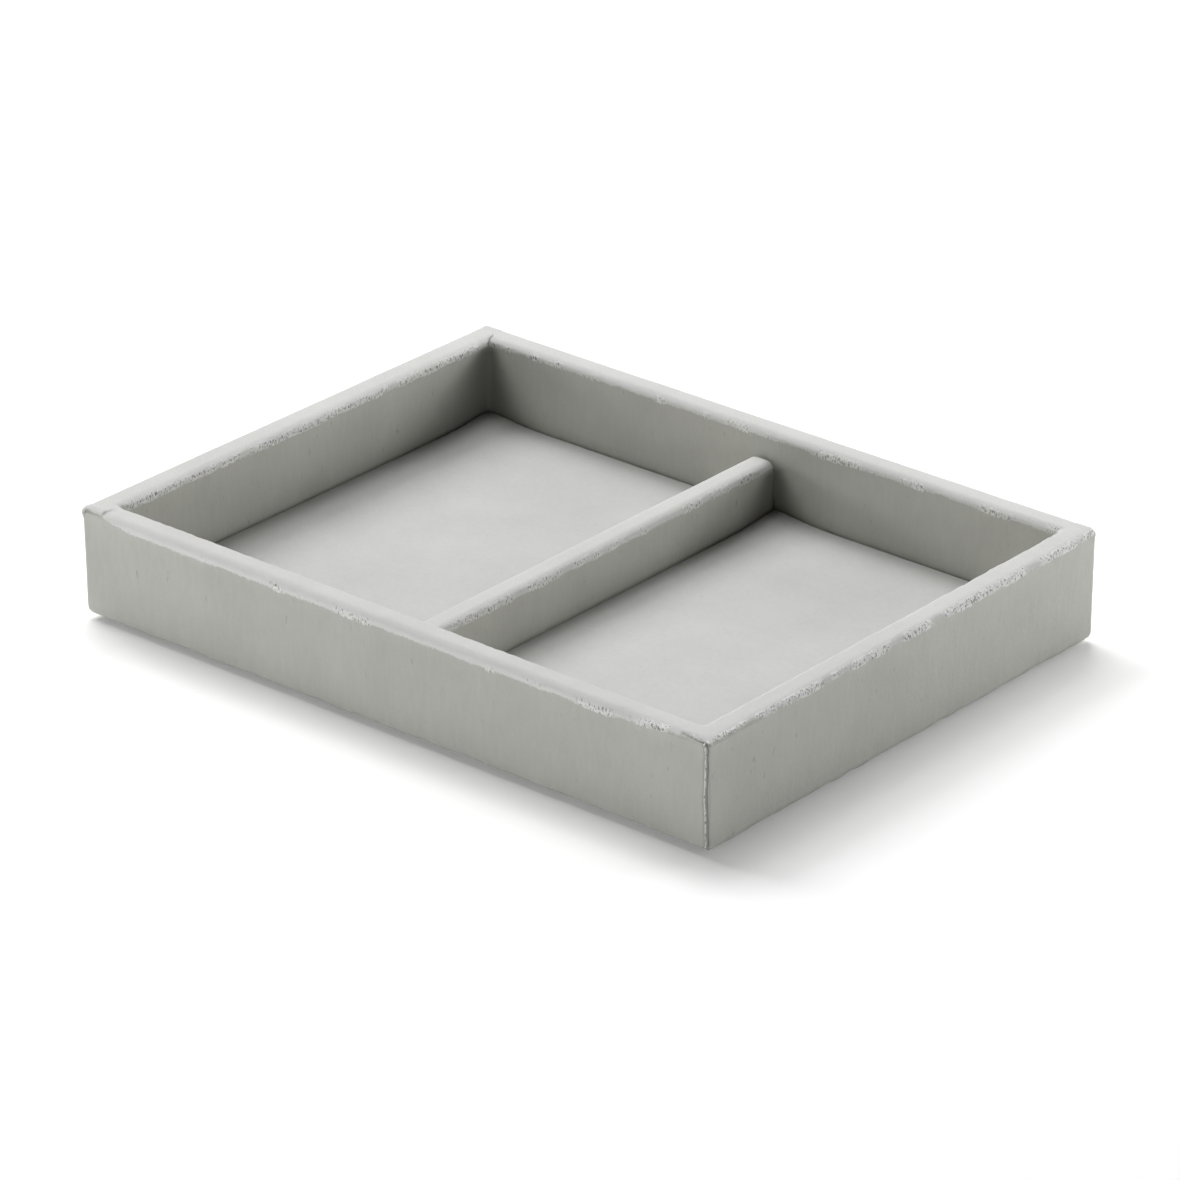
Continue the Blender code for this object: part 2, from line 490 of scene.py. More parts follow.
def new_bench(name: str) -> tuple[NodeBench, bpy.types.Node]:
    """Starts a node material.

    Args:
        name: The material's name.

    Returns:
        A bench for its nodes, and its Principled shader.
    """
    material = bpy.data.materials.new(name)
    material.use_nodes = True
    return NodeBench(material), material.node_tree.nodes["Principled BSDF"]


@dataclass(frozen=True)
class VelvetFinish:
    """Short upright pile, level over a flat, and brushed pale over a fold.

    Where a fold ends, the pile parts in a ragged line, with painted highlights and shadows on its
    tufts.

    Attributes:
        name: The material's name.
        dark: Colour of the level pile in its hollows.
        light: Colour of the level pile where it stands.
        fold_dark: Colour of the hollows over a fold.
        fold_light: Colour of the pile over a fold.
        edge: Colour of the fold's pile where it turns down, near its ragged line: a painted
            highlight.
        gap_shadow: Painted shadow down between the parted tufts.
        tip_highlight: Painted highlight on the parted tufts' tips.
        seam: Painted shade down in the seams and grooves, and in the shadowed corners.
        pit: Colour of the few small pits in the level pile.
        sheen: Weight of the pile's edge glow.
        clouds: Humps to a metre of the level pile's slow clouds, along x, y and z.
        streaks: Humps to a metre of its upright streaks.
        patches: Humps to a metre of the frayed patches.
        marks: Humps to a metre of the noise that holds the pits.
        fibre: Width of a tuft of pile, in metres.
        tuft_squeeze: A tuft's width as a share of its height.
        clump_squeeze: A clump of fibres' width as a share of its height.
        bump_height: How far the tufts stand, in metres.
        pits: The noise values between which a small pit opens.
        highlight_slope: How far up the fold's surface faces where its painted highlight starts and is
            whole.
        fold_line: The depths, in millimetres, between which level pile becomes folded pile.
        fray_start: The depths between which the frayed line starts.
        fray_end: The depths between which it has ended, further into the fold.
        fray_slope: How far up the surface faces where the fray starts and is whole.
        fray_patches: The sum of the fray's share and a slow noise between which a patch is frayed.
        flecks: The noise values of a painted shadow in a gap and of a painted highlight on a tip.
        fleck_strength: How far the flecks hide the colour below.
        raggedness: How far the fold's line wanders, in millimetres from its one side to the other.
        fray_relief: How much higher the frayed tufts stand, as a multiple of their own height.
    """

    name: str = "grey velvet pile"
    dark: tuple[float, float, float] = (0.53, 0.53, 0.49)
    light: tuple[float, float, float] = (0.62, 0.62, 0.577)
    fold_dark: tuple[float, float, float] = (0.56, 0.56, 0.545)
    fold_light: tuple[float, float, float] = (0.64, 0.64, 0.625)
    edge: tuple[float, float, float] = (0.80, 0.80, 0.785)
    gap_shadow: tuple[float, float, float] = (0.20, 0.20, 0.185)
    tip_highlight: tuple[float, float, float] = (0.92, 0.92, 0.90)
    seam: tuple[float, float, float] = (0.10, 0.10, 0.09)
    pit: tuple[float, float, float] = (0.45, 0.45, 0.42)
    sheen: float = 0.12
    clouds: tuple[float, float, float] = (70.0, 70.0, 70.0)
    streaks: tuple[float, float, float] = (900.0, 900.0, 180.0)
    patches: tuple[float, float, float] = (170.0, 170.0, 170.0)
    marks: tuple[float, float, float] = (1100.0, 1100.0, 420.0)
    fibre: float = 0.35 * MM
    tuft_squeeze: float = 0.55
    clump_squeeze: float = 0.45
    bump_height: float = 0.10 * MM
    pits: tuple[float, float] = (0.30, 0.16)
    highlight_slope: tuple[float, float] = (0.90, 0.20)
    fold_line: tuple[float, float] = (-0.28, 0.28)
    fray_start: tuple[float, float] = (-0.45, 0.0)
    fray_end: tuple[float, float] = (1.7, 0.8)
    fray_slope: tuple[float, float] = (0.98, 0.85)
    fray_patches: tuple[float, float] = (0.92, 1.12)
    flecks: tuple[float, float] = (0.31, 0.53)
    fleck_strength: float = 0.88
    raggedness: float = 2.4
    fray_relief: float = 2.5

    def material(self) -> bpy.types.Material:
        """Builds the node material.

        The depth within a fold is the fan attribute plus a ragged noise. Where it is negative the
        pile is level, and where it is positive it is folded. About the line between them, where the
        pile slopes and is frayed, lie flecks of painted highlight and painted shadow. Where the
        fold's pile turns down it is painted lighter, a painted highlight, and the seams, grooves and
        shadowed corners are painted dark with painted shade.

        Returns:
            The material.
        """
        bench, shader = new_bench(self.name)
        fine = 1.0 / self.fibre
        tufts = bench.noise((fine, fine, fine * self.tuft_squeeze), detail=3.0)
        clouds = bench.noise(self.clouds, detail=4.0)
        streaks = bench.noise(self.streaks, detail=2.0)
        clumps = bench.noise((fine, fine, fine * self.clump_squeeze), detail=2.0)
        patches = bench.noise(self.patches, detail=1.0)
        marks = bench.noise(self.marks, detail=1.0)
        level = bench.blend(bench.mean(bench.mean(tufts, streaks), clouds), self.dark, self.light)
        level = bench.mix(bench.ramp(marks, *self.pits), level, bench.plain(self.pit))
        folded = bench.blend(bench.mean(tufts, clouds), self.fold_dark, self.fold_light)
        # Painted highlight: the fold's pile is made lighter as it turns down, against the shoulder's
        # falling shade.
        turned = bench.ramp(bench.upright(), *self.highlight_slope)
        folded = bench.mix(turned, folded, bench.plain(self.edge))
        uneven = bench.mean(clumps, patches)
        ragged = bench.number("MULTIPLY_ADD", uneven, self.raggedness, -self.raggedness / 2)
        depth = bench.number("ADD", bench.attribute(FAN_ATTRIBUTE), ragged)
        colour = bench.mix(bench.ramp(depth, *self.fold_line), level, folded)
        start, end = bench.ramp(depth, *self.fray_start), bench.ramp(depth, *self.fray_end)
        slope = bench.ramp(bench.upright(), *self.fray_slope)
        sloped = bench.number("MULTIPLY", bench.number("MULTIPLY", start, end), slope)
        reached = bench.number("ADD", bench.attribute(FRAY_ATTRIBUTE), patches)
        fray = bench.number("MULTIPLY", sloped, bench.ramp(reached, *self.fray_patches))
        # Flecks of painted highlight on the frayed tufts' tips and painted shadow between them.
        ends = bench.ramp(clumps, *self.flecks)
        flecks = bench.mix(ends, bench.plain(self.gap_shadow), bench.plain(self.tip_highlight))
        colour = bench.mix(bench.number("MULTIPLY", fray, self.fleck_strength), colour, flecks)
        # Painted shade in the seams, grooves and shadowed corners.
        colour = bench.mix(bench.attribute(SHADE_ATTRIBUTE), colour, bench.plain(self.seam))
        bench.join(colour, shader.inputs["Base Color"])
        standing = bench.number("MULTIPLY_ADD", fray, self.fray_relief, 1.0)
        height = bench.number("MULTIPLY", tufts, standing)
        bench.bump(shader, height, strength=0.6, distance=self.bump_height)
        shader.inputs["Roughness"].default_value = 1.0
        shader.inputs["Specular IOR Level"].default_value = 0.1
        shader.inputs["Sheen Weight"].default_value = self.sheen
        shader.inputs["Sheen Roughness"].default_value = 0.6
        return bench.material


@dataclass(frozen=True)
class PlainFinish:
    """A dry sheet or board: two tones in a fibrous grain.

    Attributes:
        name: The material's name.
        dark: Colour of the grain's hollows.
        light: Colour of its ridges.
        grain: Humps to a metre along x, y and z.
        bump_height: Height of the grain, in metres.
    """

    name: str
    dark: tuple[float, float, float]
    light: tuple[float, float, float]
    grain: tuple[float, float, float]
    bump_height: float

    def material(self) -> bpy.types.Material:
        """Builds the node material, whose tone and relief follow one noise.

        Returns:
            The material.
        """
        bench, shader = new_bench(self.name)
        grain = bench.noise(self.grain, detail=6.0)
        bench.join(bench.blend(grain, self.dark, self.light), shader.inputs["Base Color"])
        bench.bump(shader, grain, strength=0.5, distance=self.bump_height)
        shader.inputs["Roughness"].default_value = 0.9
        shader.inputs["Specular IOR Level"].default_value = 0.2
        return bench.material


HIDDEN_FINISHES = {
    Slot.BOARD: PlainFinish(
        name="pressed fibreboard",
        dark=(0.30, 0.21, 0.13),
        light=(0.46, 0.35, 0.24),
        grain=(1800.0, 1800.0, 3600.0),
        bump_height=0.05 * MM,
    ),
    Slot.CARD: PlainFinish(
        name="grey card",
        dark=(0.32, 0.31, 0.29),
        light=(0.42, 0.41, 0.39),
        grain=(1200.0, 1200.0, 1200.0),
        bump_height=0.02 * MM,
    ),
    Slot.FELT: PlainFinish(
        name="grey felt",
        dark=(0.36, 0.36, 0.35),
        light=(0.52, 0.52, 0.51),
        grain=(1500.0, 1500.0, 1500.0),
        bump_height=0.08 * MM,
    ),
}
HIDDEN_ENDINGS = {Slot.BOARD: "_board", Slot.CARD: "_card", Slot.FELT: "_cover"}


# The velvet


@dataclass(frozen=True)
class RimFold:
    """How the pile lies over one wall's rim.

    Attributes:
        outer_fan: How far below the rim the pale, fanned pile reaches outside.
        inner_fan: How far it reaches inside.
        outer_swell: How far it stands out at the outer shoulder.
        inner_swell: How far it stands out at the inner shoulder.
        outer_fray: How much of its line outside is frayed, from 0 to 1.
        inner_fray: How much of its line inside is frayed.
    """

    outer_fan: float
    inner_fan: float
    outer_swell: float
    inner_swell: float
    outer_fray: float
    inner_fray: float


FRONT_RIM = RimFold(
    outer_fan=2.2 * MM,
    inner_fan=0.5 * MM,
    outer_swell=0.35 * MM,
    inner_swell=-0.42 * MM,
    outer_fray=0.44,
    inner_fray=0.30,
)
RIGHT_RIM = RimFold(
    outer_fan=1.2 * MM,
    inner_fan=0.5 * MM,
    outer_swell=0.20 * MM,
    inner_swell=0.26 * MM,
    outer_fray=0.60,
    inner_fray=0.30,
)
BACK_RIM = RimFold(
    outer_fan=1.6 * MM,
    inner_fan=1.6 * MM,
    outer_swell=-0.05 * MM,
    inner_swell=0.40 * MM,
    outer_fray=0.30,
    inner_fray=0.46,
)
LEFT_RIM = RimFold(
    outer_fan=1.6 * MM,
    inner_fan=1.7 * MM,
    outer_swell=-0.08 * MM,
    inner_swell=0.90 * MM,
    outer_fray=0.30,
    inner_fray=0.62,
)


@dataclass(frozen=True)
class CornerFold:
    """How the band is folded at one corner: a slit across the rim, and a cap over the corner.

    The cap's edge runs along the outer fold of the long wall. It lies at one depth below the rim by
    the slit, and bends down to another at the arris.

    Attributes:
        sign_x: 1 at the right corners, -1 at the left ones.
        sign_y: 1 at the back corners, -1 at the front ones.
        span: Where the cap's edge starts and ends along x, outwards from the inner face.
        drop: Depth of the cap's edge below the rim, where it starts.
        arris_drop: Depth of the cap's edge below the rim, at the arris.
        bend: Where the edge bends down, from and to along x, outwards from the inner face.
        groove: Depth of the groove under the cap's edge.
        proud: How far the cap stands out above its edge.
        shade: How dark the painted shade in its slit and under its cap's edge is, from 0 to 1.
        fan_rise: How far from the corner the rim's outer fan is whole again, along x and y.
        slit: Depth of the slit, or 0 where there is none.
        slit_place: Where the slit lies along x, outwards from the inner face.
        slit_span: Where the slit starts and ends along y, outwards from the inner face.
        top_shift: How far the corner's top is moved along x, y and z.
        foot_shift: How far its foot is moved.
        slit_width: Half the slit's width.
        slit_fade: How far the slit fades at its start and at its end.
        slit_foot: Where the slit has ended and is whole, below the cap's edge.
        groove_width: Half the groove's width.
        face: Distances in from the outer face between which the cap's edge begins.
        span_fade: How far the cap's edge fades at its start and at its end.
        cap_rise: Where the cap starts and is whole, below its edge.
    """

    sign_x: int
    sign_y: int
    span: tuple[float, float]
    drop: float
    arris_drop: float
    bend: tuple[float, float]
    groove: float
    proud: float
    shade: float
    fan_rise: tuple[float, float]
    slit: float = 0.0
    slit_place: float = 0.0
    slit_span: tuple[float, float] = (0.0, 1.0 * MM)
    top_shift: tuple[float, float, float] = (0.0, 0.0, 0.0)
    foot_shift: tuple[float, float, float] = (0.0, 0.0, 0.0)
    slit_width: float = 0.18 * MM
    slit_fade: tuple[float, float] = (0.4 * MM, 0.5 * MM)
    slit_foot: tuple[float, float] = (0.9 * MM, 0.3 * MM)
    groove_width: float = 0.17 * MM
    face: tuple[float, float] = (2.4 * MM, 1.4 * MM)
    span_fade: tuple[float, float] = (0.7 * MM, 0.3 * MM)
    cap_rise: tuple[float, float] = (0.1 * MM, -0.5 * MM)


FRONT_LEFT = CornerFold(
    sign_x=-1,
    sign_y=-1,
    slit=0.30 * MM,
    slit_place=-0.7 * MM,
    slit_span=(2.3 * MM, 4.7 * MM),
    span=(-0.9 * MM, 6.0 * MM),
    drop=0.75 * MM,
    arris_drop=2.4 * MM,
    bend=(3.5 * MM, 4.8 * MM),
    groove=0.22 * MM,
    proud=0.16 * MM,
    shade=0.28,
    top_shift=(-0.22 * MM, -0.80 * MM, 0.0),
    foot_shift=(-0.18 * MM, 0.0, 0.0),
    fan_rise=(14 * MM, 6 * MM),
)
FRONT_RIGHT = CornerFold(
    sign_x=1,
    sign_y=-1,
    span=(-1.5 * MM, 4.1 * MM),
    drop=0.42 * MM,
    arris_drop=0.62 * MM,
    bend=(-1.4 * MM, 3.4 * MM),
    groove=0.34 * MM,
    proud=0.04 * MM,
    shade=0.40,
    top_shift=(-0.60 * MM, -0.80 * MM, 0.0),
    foot_shift=(-0.45 * MM, 0.0, 0.40 * MM),
    fan_rise=(28 * MM, 36 * MM),
)
BACK_LEFT = CornerFold(
    sign_x=-1,
    sign_y=1,
    slit=0.30 * MM,
    slit_place=-0.3 * MM,
    slit_span=(-0.6 * MM, 1.2 * MM),
    span=(-0.2 * MM, 6.0 * MM),
    drop=1.0 * MM,
    arris_drop=2.2 * MM,
    bend=(3.9 * MM, 5.1 * MM),
    groove=0.22 * MM,
    proud=0.12 * MM,
    shade=0.6,
    fan_rise=(6 * MM, 6 * MM),
)
BACK_RIGHT = CornerFold(
    sign_x=1,
    sign_y=1,
    span=(-0.2 * MM, 6.0 * MM),
    drop=1.0 * MM,
    arris_drop=2.0 * MM,
    bend=(3.9 * MM, 5.1 * MM),
    groove=0.15 * MM,
    proud=0.06 * MM,
    shade=0.35,
    top_shift=(-0.35 * MM, 0.0, 0.12 * MM),
    fan_rise=(6 * MM, 10 * MM),
)
CORNER_FOLDS = (FRONT_LEFT, FRONT_RIGHT, BACK_LEFT, BACK_RIGHT)


@dataclass(frozen=True)
class ClosingSeam:
    """The upright seam where the band's two ends meet: a thin lip between two grooves.

    Attributes:
        place: Where the lip stands, measured round the arris, negative on the front face.
        stray: How far it strays from a plumb line.
        stray_grain: Length of its strays.
        start: Where it starts and is whole, below the rim.
        lip_width: Half the lip's width.
        lip_rise: How far the lip stands out.
        grooves: Each groove's place from the lip, half its width and its share of the depth.
        groove_depth: Depth of the deeper groove.
        shade: How dark the painted shade in the deeper groove is, from 0 to 1.
        unevenness: How much of the seams' common unevenness it follows.
        zone: How far round the arris it may reach.
        skin: How far in from the outer faces it may lie.
        pale: The lip's fan value is the first times its share less the second, up to the third; it
            paints a highlight.
        fray: How frayed the lip is, as a multiple of its share.
    """

    place: float = -0.90 * MM
    stray: float = 0.22 * MM
    stray_grain: float = 3.2 * MM
    start: tuple[float, float] = (0.3 * MM, 0.7 * MM)
    lip_width: float = 0.19 * MM
    lip_rise: float = 0.24 * MM
    grooves: tuple[tuple[float, float, float], ...] = (
        (0.45 * MM, 0.17 * MM, 1.0),
        (-0.42 * MM, 0.14 * MM, 0.5),
    )
    groove_depth: float = 0.42 * MM
    shade: float = 0.6
    unevenness: float = 1.2
    zone: float = 3.0 * MM
    skin: float = 0.5 * MM
    pale: tuple[float, float, float] = (6.0, 2.4, 0.6)
    fray: float = 1.4


@dataclass
class WallVelvet:
    """The band of velvet round the four walls, from its hem below to its inner foot.

    The band is a ring. Round it run columns that follow a rectangle with rounded corners, and across
    it one closed profile of insets and heights, pile side and backing.

    Attributes:
        low: The lowest corner of its box.
        high: The highest corner of its box.
        thickness: The velvet's own thickness.
        wall: A finished wall's thickness.
        foot: Height of the inner foot.
        hem_width: Width of the hem below.
        outer_rim: Radius of the rim's outer shoulder.
        inner_rim: Radius of the rim's inner shoulder.
        hem_radius: Radius of the lower outside fold.
        arris_radii: Plan radius at the corners front right, back right, back left and front left.
        inner_radius: Plan radius at the inner corners.
        corner_zone: How far from each arris the columns stand close together.
        corner_steps: Columns in each such zone.
        long_step: Spacing of the columns between them.
        arc_points: Columns round each arris.
        rim_points: Rows over each shoulder of the rim.
        hem_points: Rows round the lower fold.
        face_points: Rows that divide each upright face, closest together near the rim.
        rim_spread: How far one wall's rim reaches into the next one's at a corner.
        outer_half: Insets where a point starts to count as outside, and where it wholly does.
        corner_fan: How far the outer fan reaches by a corner, unless the cap's edge is higher.
        closing: The seam where the band's ends meet.
        inner_seam: Half the width, and the depth, of the seams down the inner corners.
        inner_start: Where they start and are whole, below the rim.
        inner_shade: How dark their painted shade is, from 0 to 1.
        wander_size: Height and grain of the seams' common unevenness.
        shadowed_corners: Each corner's place in plan, its top and how dark its painted shadow is.
        tuft: How far the level pile's tufts stand.
        frayed_tuft: How much further they stand where the rim's pile ends.
        tuft_grains: Widths of the fine and the coarse tufts, the coarse ones less high.
        wave: Height of the pile's slow waves.
        wave_grains: Lengths of the long and the short waves, the short ones half as high.
        crumple: Height of the crumples along the bottom.
        crumple_grain: Width of a crumple.
        crumple_foot: Heights between which the crumples start and are whole.
    """

    low: Vector
    high: Vector
    thickness: float = 1.0 * MM
    wall: float = 5.1 * MM
    foot: float = 4.8 * MM
    hem_width: float = 8.0 * MM
    outer_rim: float = 1.4 * MM
    inner_rim: float = 1.1 * MM
    hem_radius: float = 2.0 * MM
    arris_radii: tuple[float, float, float, float] = (0.55 * MM, 1.6 * MM, 1.4 * MM, 0.90 * MM)
    inner_radius: float = 1.2 * MM
    corner_zone: float = 6.4 * MM
    corner_steps: int = 34
    long_step: float = 0.62 * MM
    arc_points: int = 9
    rim_points: int = 12
    hem_points: int = 6
    face_points: int = 15
    rim_spread: float = 0.9 * MM
    outer_half: tuple[float, float] = (2.2 * MM, 1.2 * MM)
    corner_fan: float = 0.5 * MM
    closing: ClosingSeam = ClosingSeam()
    inner_seam: tuple[float, float] = (0.5 * MM, 0.2 * MM)
    inner_start: tuple[float, float] = (0.6 * MM, 2.0 * MM)
    inner_shade: float = 0.9
    wander_size: tuple[float, float] = (0.12 * MM, 1.6 * MM)
    shadowed_corners: tuple[tuple[tuple[float, float], float, float], ...] = ()
    tuft: float = 0.02 * MM
    frayed_tuft: float = 0.07 * MM
    tuft_grains: tuple[float, float] = (1.1 * MM, 1.9 * MM)
    wave: float = 0.045 * MM
    wave_grains: tuple[float, float] = (14 * MM, 5 * MM)
    crumple: float = 0.15 * MM
    crumple_grain: float = 3.5 * MM
    crumple_foot: tuple[float, float] = (3.0 * MM, 0.4 * MM)

    def profile(self) -> tuple[np.ndarray, np.ndarray, np.ndarray]:
        """The closed profile across the band.

        The pile side runs from the hem's free edge, out and round the lower fold, up the outer face,
        over the rim's two shoulders and down the inner face. The backing returns inside it.

        Returns:
            The inset from the outer outline, the height, and 1 for pile or 0 for backing.
        """
        top, bottom = self.high.z, self.low.z
        outer, inner = self.outer_rim, self.inner_rim
        hem, skin = self.hem_radius, self.thickness
        quarter = math.pi / 2
        turn = np.linspace(0.0, quarter, self.rim_points)
        small = np.linspace(0.0, quarter, self.hem_points)
        crowding = 1.7
        face = np.linspace(0.0, 1.0, self.face_points)[1:-1] ** crowding
        flat = np.array([0.25, 0.5, 0.75])
        insets, heights = [], []

        def lay(inset: np.ndarray, height: np.ndarray) -> None:
            """Adds a stretch to the profile."""
            insets.append(np.broadcast_to(inset, np.broadcast(inset, height).shape))
            heights.append(np.broadcast_to(height, np.broadcast(inset, height).shape))

        lay(self.hem_width - (self.hem_width - hem) * np.array([0.0, 0.5]), np.array(bottom))
        lay(hem * (1 - np.sin(small)), bottom + hem * (1 - np.cos(small)))
        lay(np.array(0.0), top - outer - (top - outer - bottom - hem) * face[::-1])
        lay(outer * (1 - np.cos(turn)), top - outer * (1 - np.sin(turn)))
        lay(outer + (self.wall - outer - inner) * flat, np.array(top))
        lay(self.wall - inner * (1 - np.sin(turn)), top - inner * (1 - np.cos(turn)))
        lay(np.array(self.wall), top - inner - (top - inner - self.foot) * face)
        lay(np.array([self.wall]), np.array([self.foot]))
        pile_count = sum(len(part) for part in insets)

        back_turn = np.linspace(0.0, quarter, 4)
        back_inner, back_outer, inner_hem = inner - skin, outer - skin, hem - skin
        lay(np.array([self.wall - skin]), np.array([self.foot]))
        lay(
            self.wall - inner + back_inner * np.cos(back_turn),
            top - inner + back_inner * np.sin(back_turn),
        )
        lay(
            outer - back_outer * np.sin(back_turn),
            top - outer + back_outer * np.cos(back_turn),
        )
        fold = np.linspace(0.0, quarter, 3)
        lay(
            skin + inner_hem * (1 - np.cos(fold)),
            bottom + skin + inner_hem * (1 - np.sin(fold)),
        )
        lay(np.array([self.hem_width]), np.array([bottom + skin]))
        inset = np.concatenate(insets)
        height = np.concatenate(heights)
        pile = (np.arange(len(inset)) < pile_count).astype(float)
        return inset, height, pile

    def outline(self, inset: np.ndarray) -> np.ndarray:
        """The columns' places in plan, for each inset.

        At an inset, the outline is a rectangle smaller by the inset, and each corner's radius is
        smaller by it too, until the inner corner's own. A straight keeps its columns in proportion.

        Args:
            inset: One inset to each row of the profile.

        Returns:
            x and y for each column and row.
        """
        half_x = (self.high.x - self.low.x) / 2 - inset
        half_y = (self.high.y - self.low.y) / 2 - inset
        signs = ((1, -1), (1, 1), (-1, 1), (-1, -1))
        least = self.inner_radius * inset / self.wall
        radii = [np.maximum(radius - inset, least) for radius in self.arris_radii]
        centres = [
            np.stack([sign_x * (half_x - radius), sign_y * (half_y - radius)], axis=-1)
            for (sign_x, sign_y), radius in zip(signs, radii)
        ]
        quarter = np.linspace(0.0, math.pi / 2, self.arc_points)
        parts = []
        for index, (centre, radius) in enumerate(zip(centres, radii)):
            angle = quarter + math.pi / 2 * (index - 1)
            spoke = np.stack([np.cos(angle), np.sin(angle)], axis=-1)
            arc = centre[None] + radius[None, :, None] * spoke[:, None, :]
            following = (index + 1) % len(signs)
            start = arc[-1]
            stop = centres[following] + radii[following][:, None] * spoke[-1][None]
            length = float(np.linalg.norm(stop[0] - start[0]))
            steps = graded_steps(length, self.corner_zone, self.corner_steps, self.long_step) / length
            straight = start[None] + (stop - start)[None] * steps[1:-1, None, None]
            parts += [arc, straight]
        return np.concatenate(parts)

    def surface(self) -> Surface:
        """The smooth band, before its pile is raised.

        Returns:
            The band's closed surface, the profile carried along the outline.
        """
        inset, height, pile = self.profile()
        plan = self.outline(inset)
        columns, rows = plan.shape[:2]
        points = np.concatenate([plan, np.broadcast_to(height, (columns, rows))[..., None]], axis=2)
        points = points.reshape(-1, 3)
        return Surface(
            points,
            ring_quads(columns, rows),
            np.tile(pile, columns),
            self.fan(points),
            self.painted_shading(points),
            self.fray(points),
        )

    def from_outside(self, points: np.ndarray) -> np.ndarray:
        """Measures inwards from the four outer faces.

        Args:
            points: The pile's places.

        Returns:
            Each point's distance in plan from the front, right, back and left face.
        """
        x, y = points[:, 0], points[:, 1]
        sides = [y - self.low.y, self.high.x - x, self.high.y - y, x - self.low.x]
        return np.stack(sides, axis=1)

    def rim_values(self, points: np.ndarray) -> tuple[np.ndarray, ...]:
        """How the pile lies over the rim at each point.

        Near a corner the values of the two walls are blended by how near their faces are, each with
        a weight of exp of minus its distance over the spread.

        Args:
            points: The pile's places.

        Returns:
            How far the fanned pile reaches down, how far it stands out, and how frayed it is.
        """
        inset = self.from_outside(points)
        share = np.exp(-inset / self.rim_spread)
        share /= share.sum(axis=1, keepdims=True)
        rims = (FRONT_RIM, RIGHT_RIM, BACK_RIM, LEFT_RIM)
        outer = share @ [[rim.outer_fan, rim.outer_swell, rim.outer_fray] for rim in rims]
        inner = share @ [[rim.inner_fan, rim.inner_swell, rim.inner_fray] for rim in rims]
        inside = smooth_step(inset.min(axis=1), 0.1 * self.wall, 0.9 * self.wall)[:, None]
        both = outer + (inner - outer) * inside
        return both[:, 0], both[:, 1], both[:, 2]

    def fan(self, points: np.ndarray) -> np.ndarray:
        """How far each point lies within the pale pile of the rim, in millimetres.

        Outside, the fan is short by the corners, down to the cap's edge, and whole further on. The
        lip of the closing seam is pale too, as folded pile with a painted highlight.

        Args:
            points: The pile's places.

        Returns:
            The reach less the depth below the rim, negative beyond the fan.
        """
        reach, _, _ = self.rim_values(points)
        outside = smooth_step(self.from_outside(points).min(axis=1), *self.outer_half)
        for fold in CORNER_FOLDS:
            from_x = self.high.x - fold.sign_x * points[:, 0]
            from_y = self.high.y - fold.sign_y * points[:, 1]
            whole_x = smooth_step(from_x, 0.0, fold.fan_rise[0])
            whole_y = smooth_step(from_y, 0.0, fold.fan_rise[1])
            short = outside * (1.0 - np.maximum(whole_x, whole_y))
            reach = reach + (min(fold.drop, self.corner_fan) - reach) * short
        # The closing seam's lip is pale as folded pile, with a painted highlight.
        lip, _ = self.closing_seam(points, self.wander(points))
        gain, loss, most = self.closing.pale
        depth = (reach - (self.high.z - points[:, 2])) / MM
        return np.maximum(depth, np.minimum(gain * lip - loss, most))

    def settle(self, points: np.ndarray) -> np.ndarray:
        """How far each point is carried by the walls' lean and settling.

        The shift at each corner's top and foot is spread evenly over the walls between them.

        Args:
            points: The pile's places.

        Returns:
            The shift of each point along x, y and z.
        """
        share_x = (points[:, 0] - self.low.x) / (self.high.x - self.low.x)
        share_y = (points[:, 1] - self.low.y) / (self.high.y - self.low.y)
        rise = (points[:, 2] - self.low.z) / (self.high.z - self.low.z)
        moved = np.zeros_like(points)
        for fold in CORNER_FOLDS:
            weight_x = share_x if fold.sign_x > 0 else 1.0 - share_x
            weight_y = share_y if fold.sign_y > 0 else 1.0 - share_y
            shift = np.outer(rise, fold.top_shift) + np.outer(1.0 - rise, fold.foot_shift)
            moved += (weight_x * weight_y)[:, None] * shift
        return moved

    def swell(self, points: np.ndarray) -> np.ndarray:
        """How far the fanned pile stands out level from the rim.

        It is a bell over the height, most at the shoulders.

        Args:
            points: The pile's places.

        Returns:
            The amount to move each point, level.
        """
        _, stand, _ = self.rim_values(points)
        return stand * shoulder_bell(self.high.z - points[:, 2])

    def fray(self, points: np.ndarray) -> np.ndarray:
        """How much of the pale pile's line is frayed. The closing seam's lip is too."""
        lip, _ = self.closing_seam(points, self.wander(points))
        return np.maximum(self.rim_values(points)[2], np.minimum(self.closing.fray * lip, 1.0))

    def cap_edge(
        self, points: np.ndarray, fold: CornerFold, wander: np.ndarray
    ) -> tuple[np.ndarray, ...]:
        """Where points lie about one corner's slit and cap edge.

        Each is a narrow bell across its line, and fades with smooth steps at the line's ends.

        Args:
            points: The pile's places.
            fold: The corner's sizes.
            wander: A small unevenness that the seams follow.

        Returns:
            The share of the slit, the share of the groove under the cap, and the share of the cap.
        """
        past_x = fold.sign_x * points[:, 0] - (self.high.x - self.wall)
        past_y = fold.sign_y * points[:, 1] - (self.high.y - self.wall)
        below = self.high.z - points[:, 2]
        start, stop = fold.slit_span
        early, late = fold.slit_fade
        along = smooth_step(past_y, start - early, start + early)
        along *= smooth_step(past_y, stop + late, stop - late)
        near_top = smooth_step(below - fold.drop, *fold.slit_foot)
        slit = bell(past_x - fold.slit_place + wander, fold.slit_width) * along * near_top
        slit = slit * (fold.slit > 0)
        drop = fold.drop + (fold.arris_drop - fold.drop) * smooth_step(past_x, *fold.bend)
        outside = smooth_step(self.wall - past_y, *fold.face)
        start, stop = fold.span
        early, late = fold.span_fade
        capped = smooth_step(past_x, start, start + early) * outside
        capped *= smooth_step(past_x, stop + late, stop - late)
        groove = bell(below - drop + wander, fold.groove_width) * capped
        cap = smooth_step(below - drop, *fold.cap_rise) * capped
        return slit, groove, cap

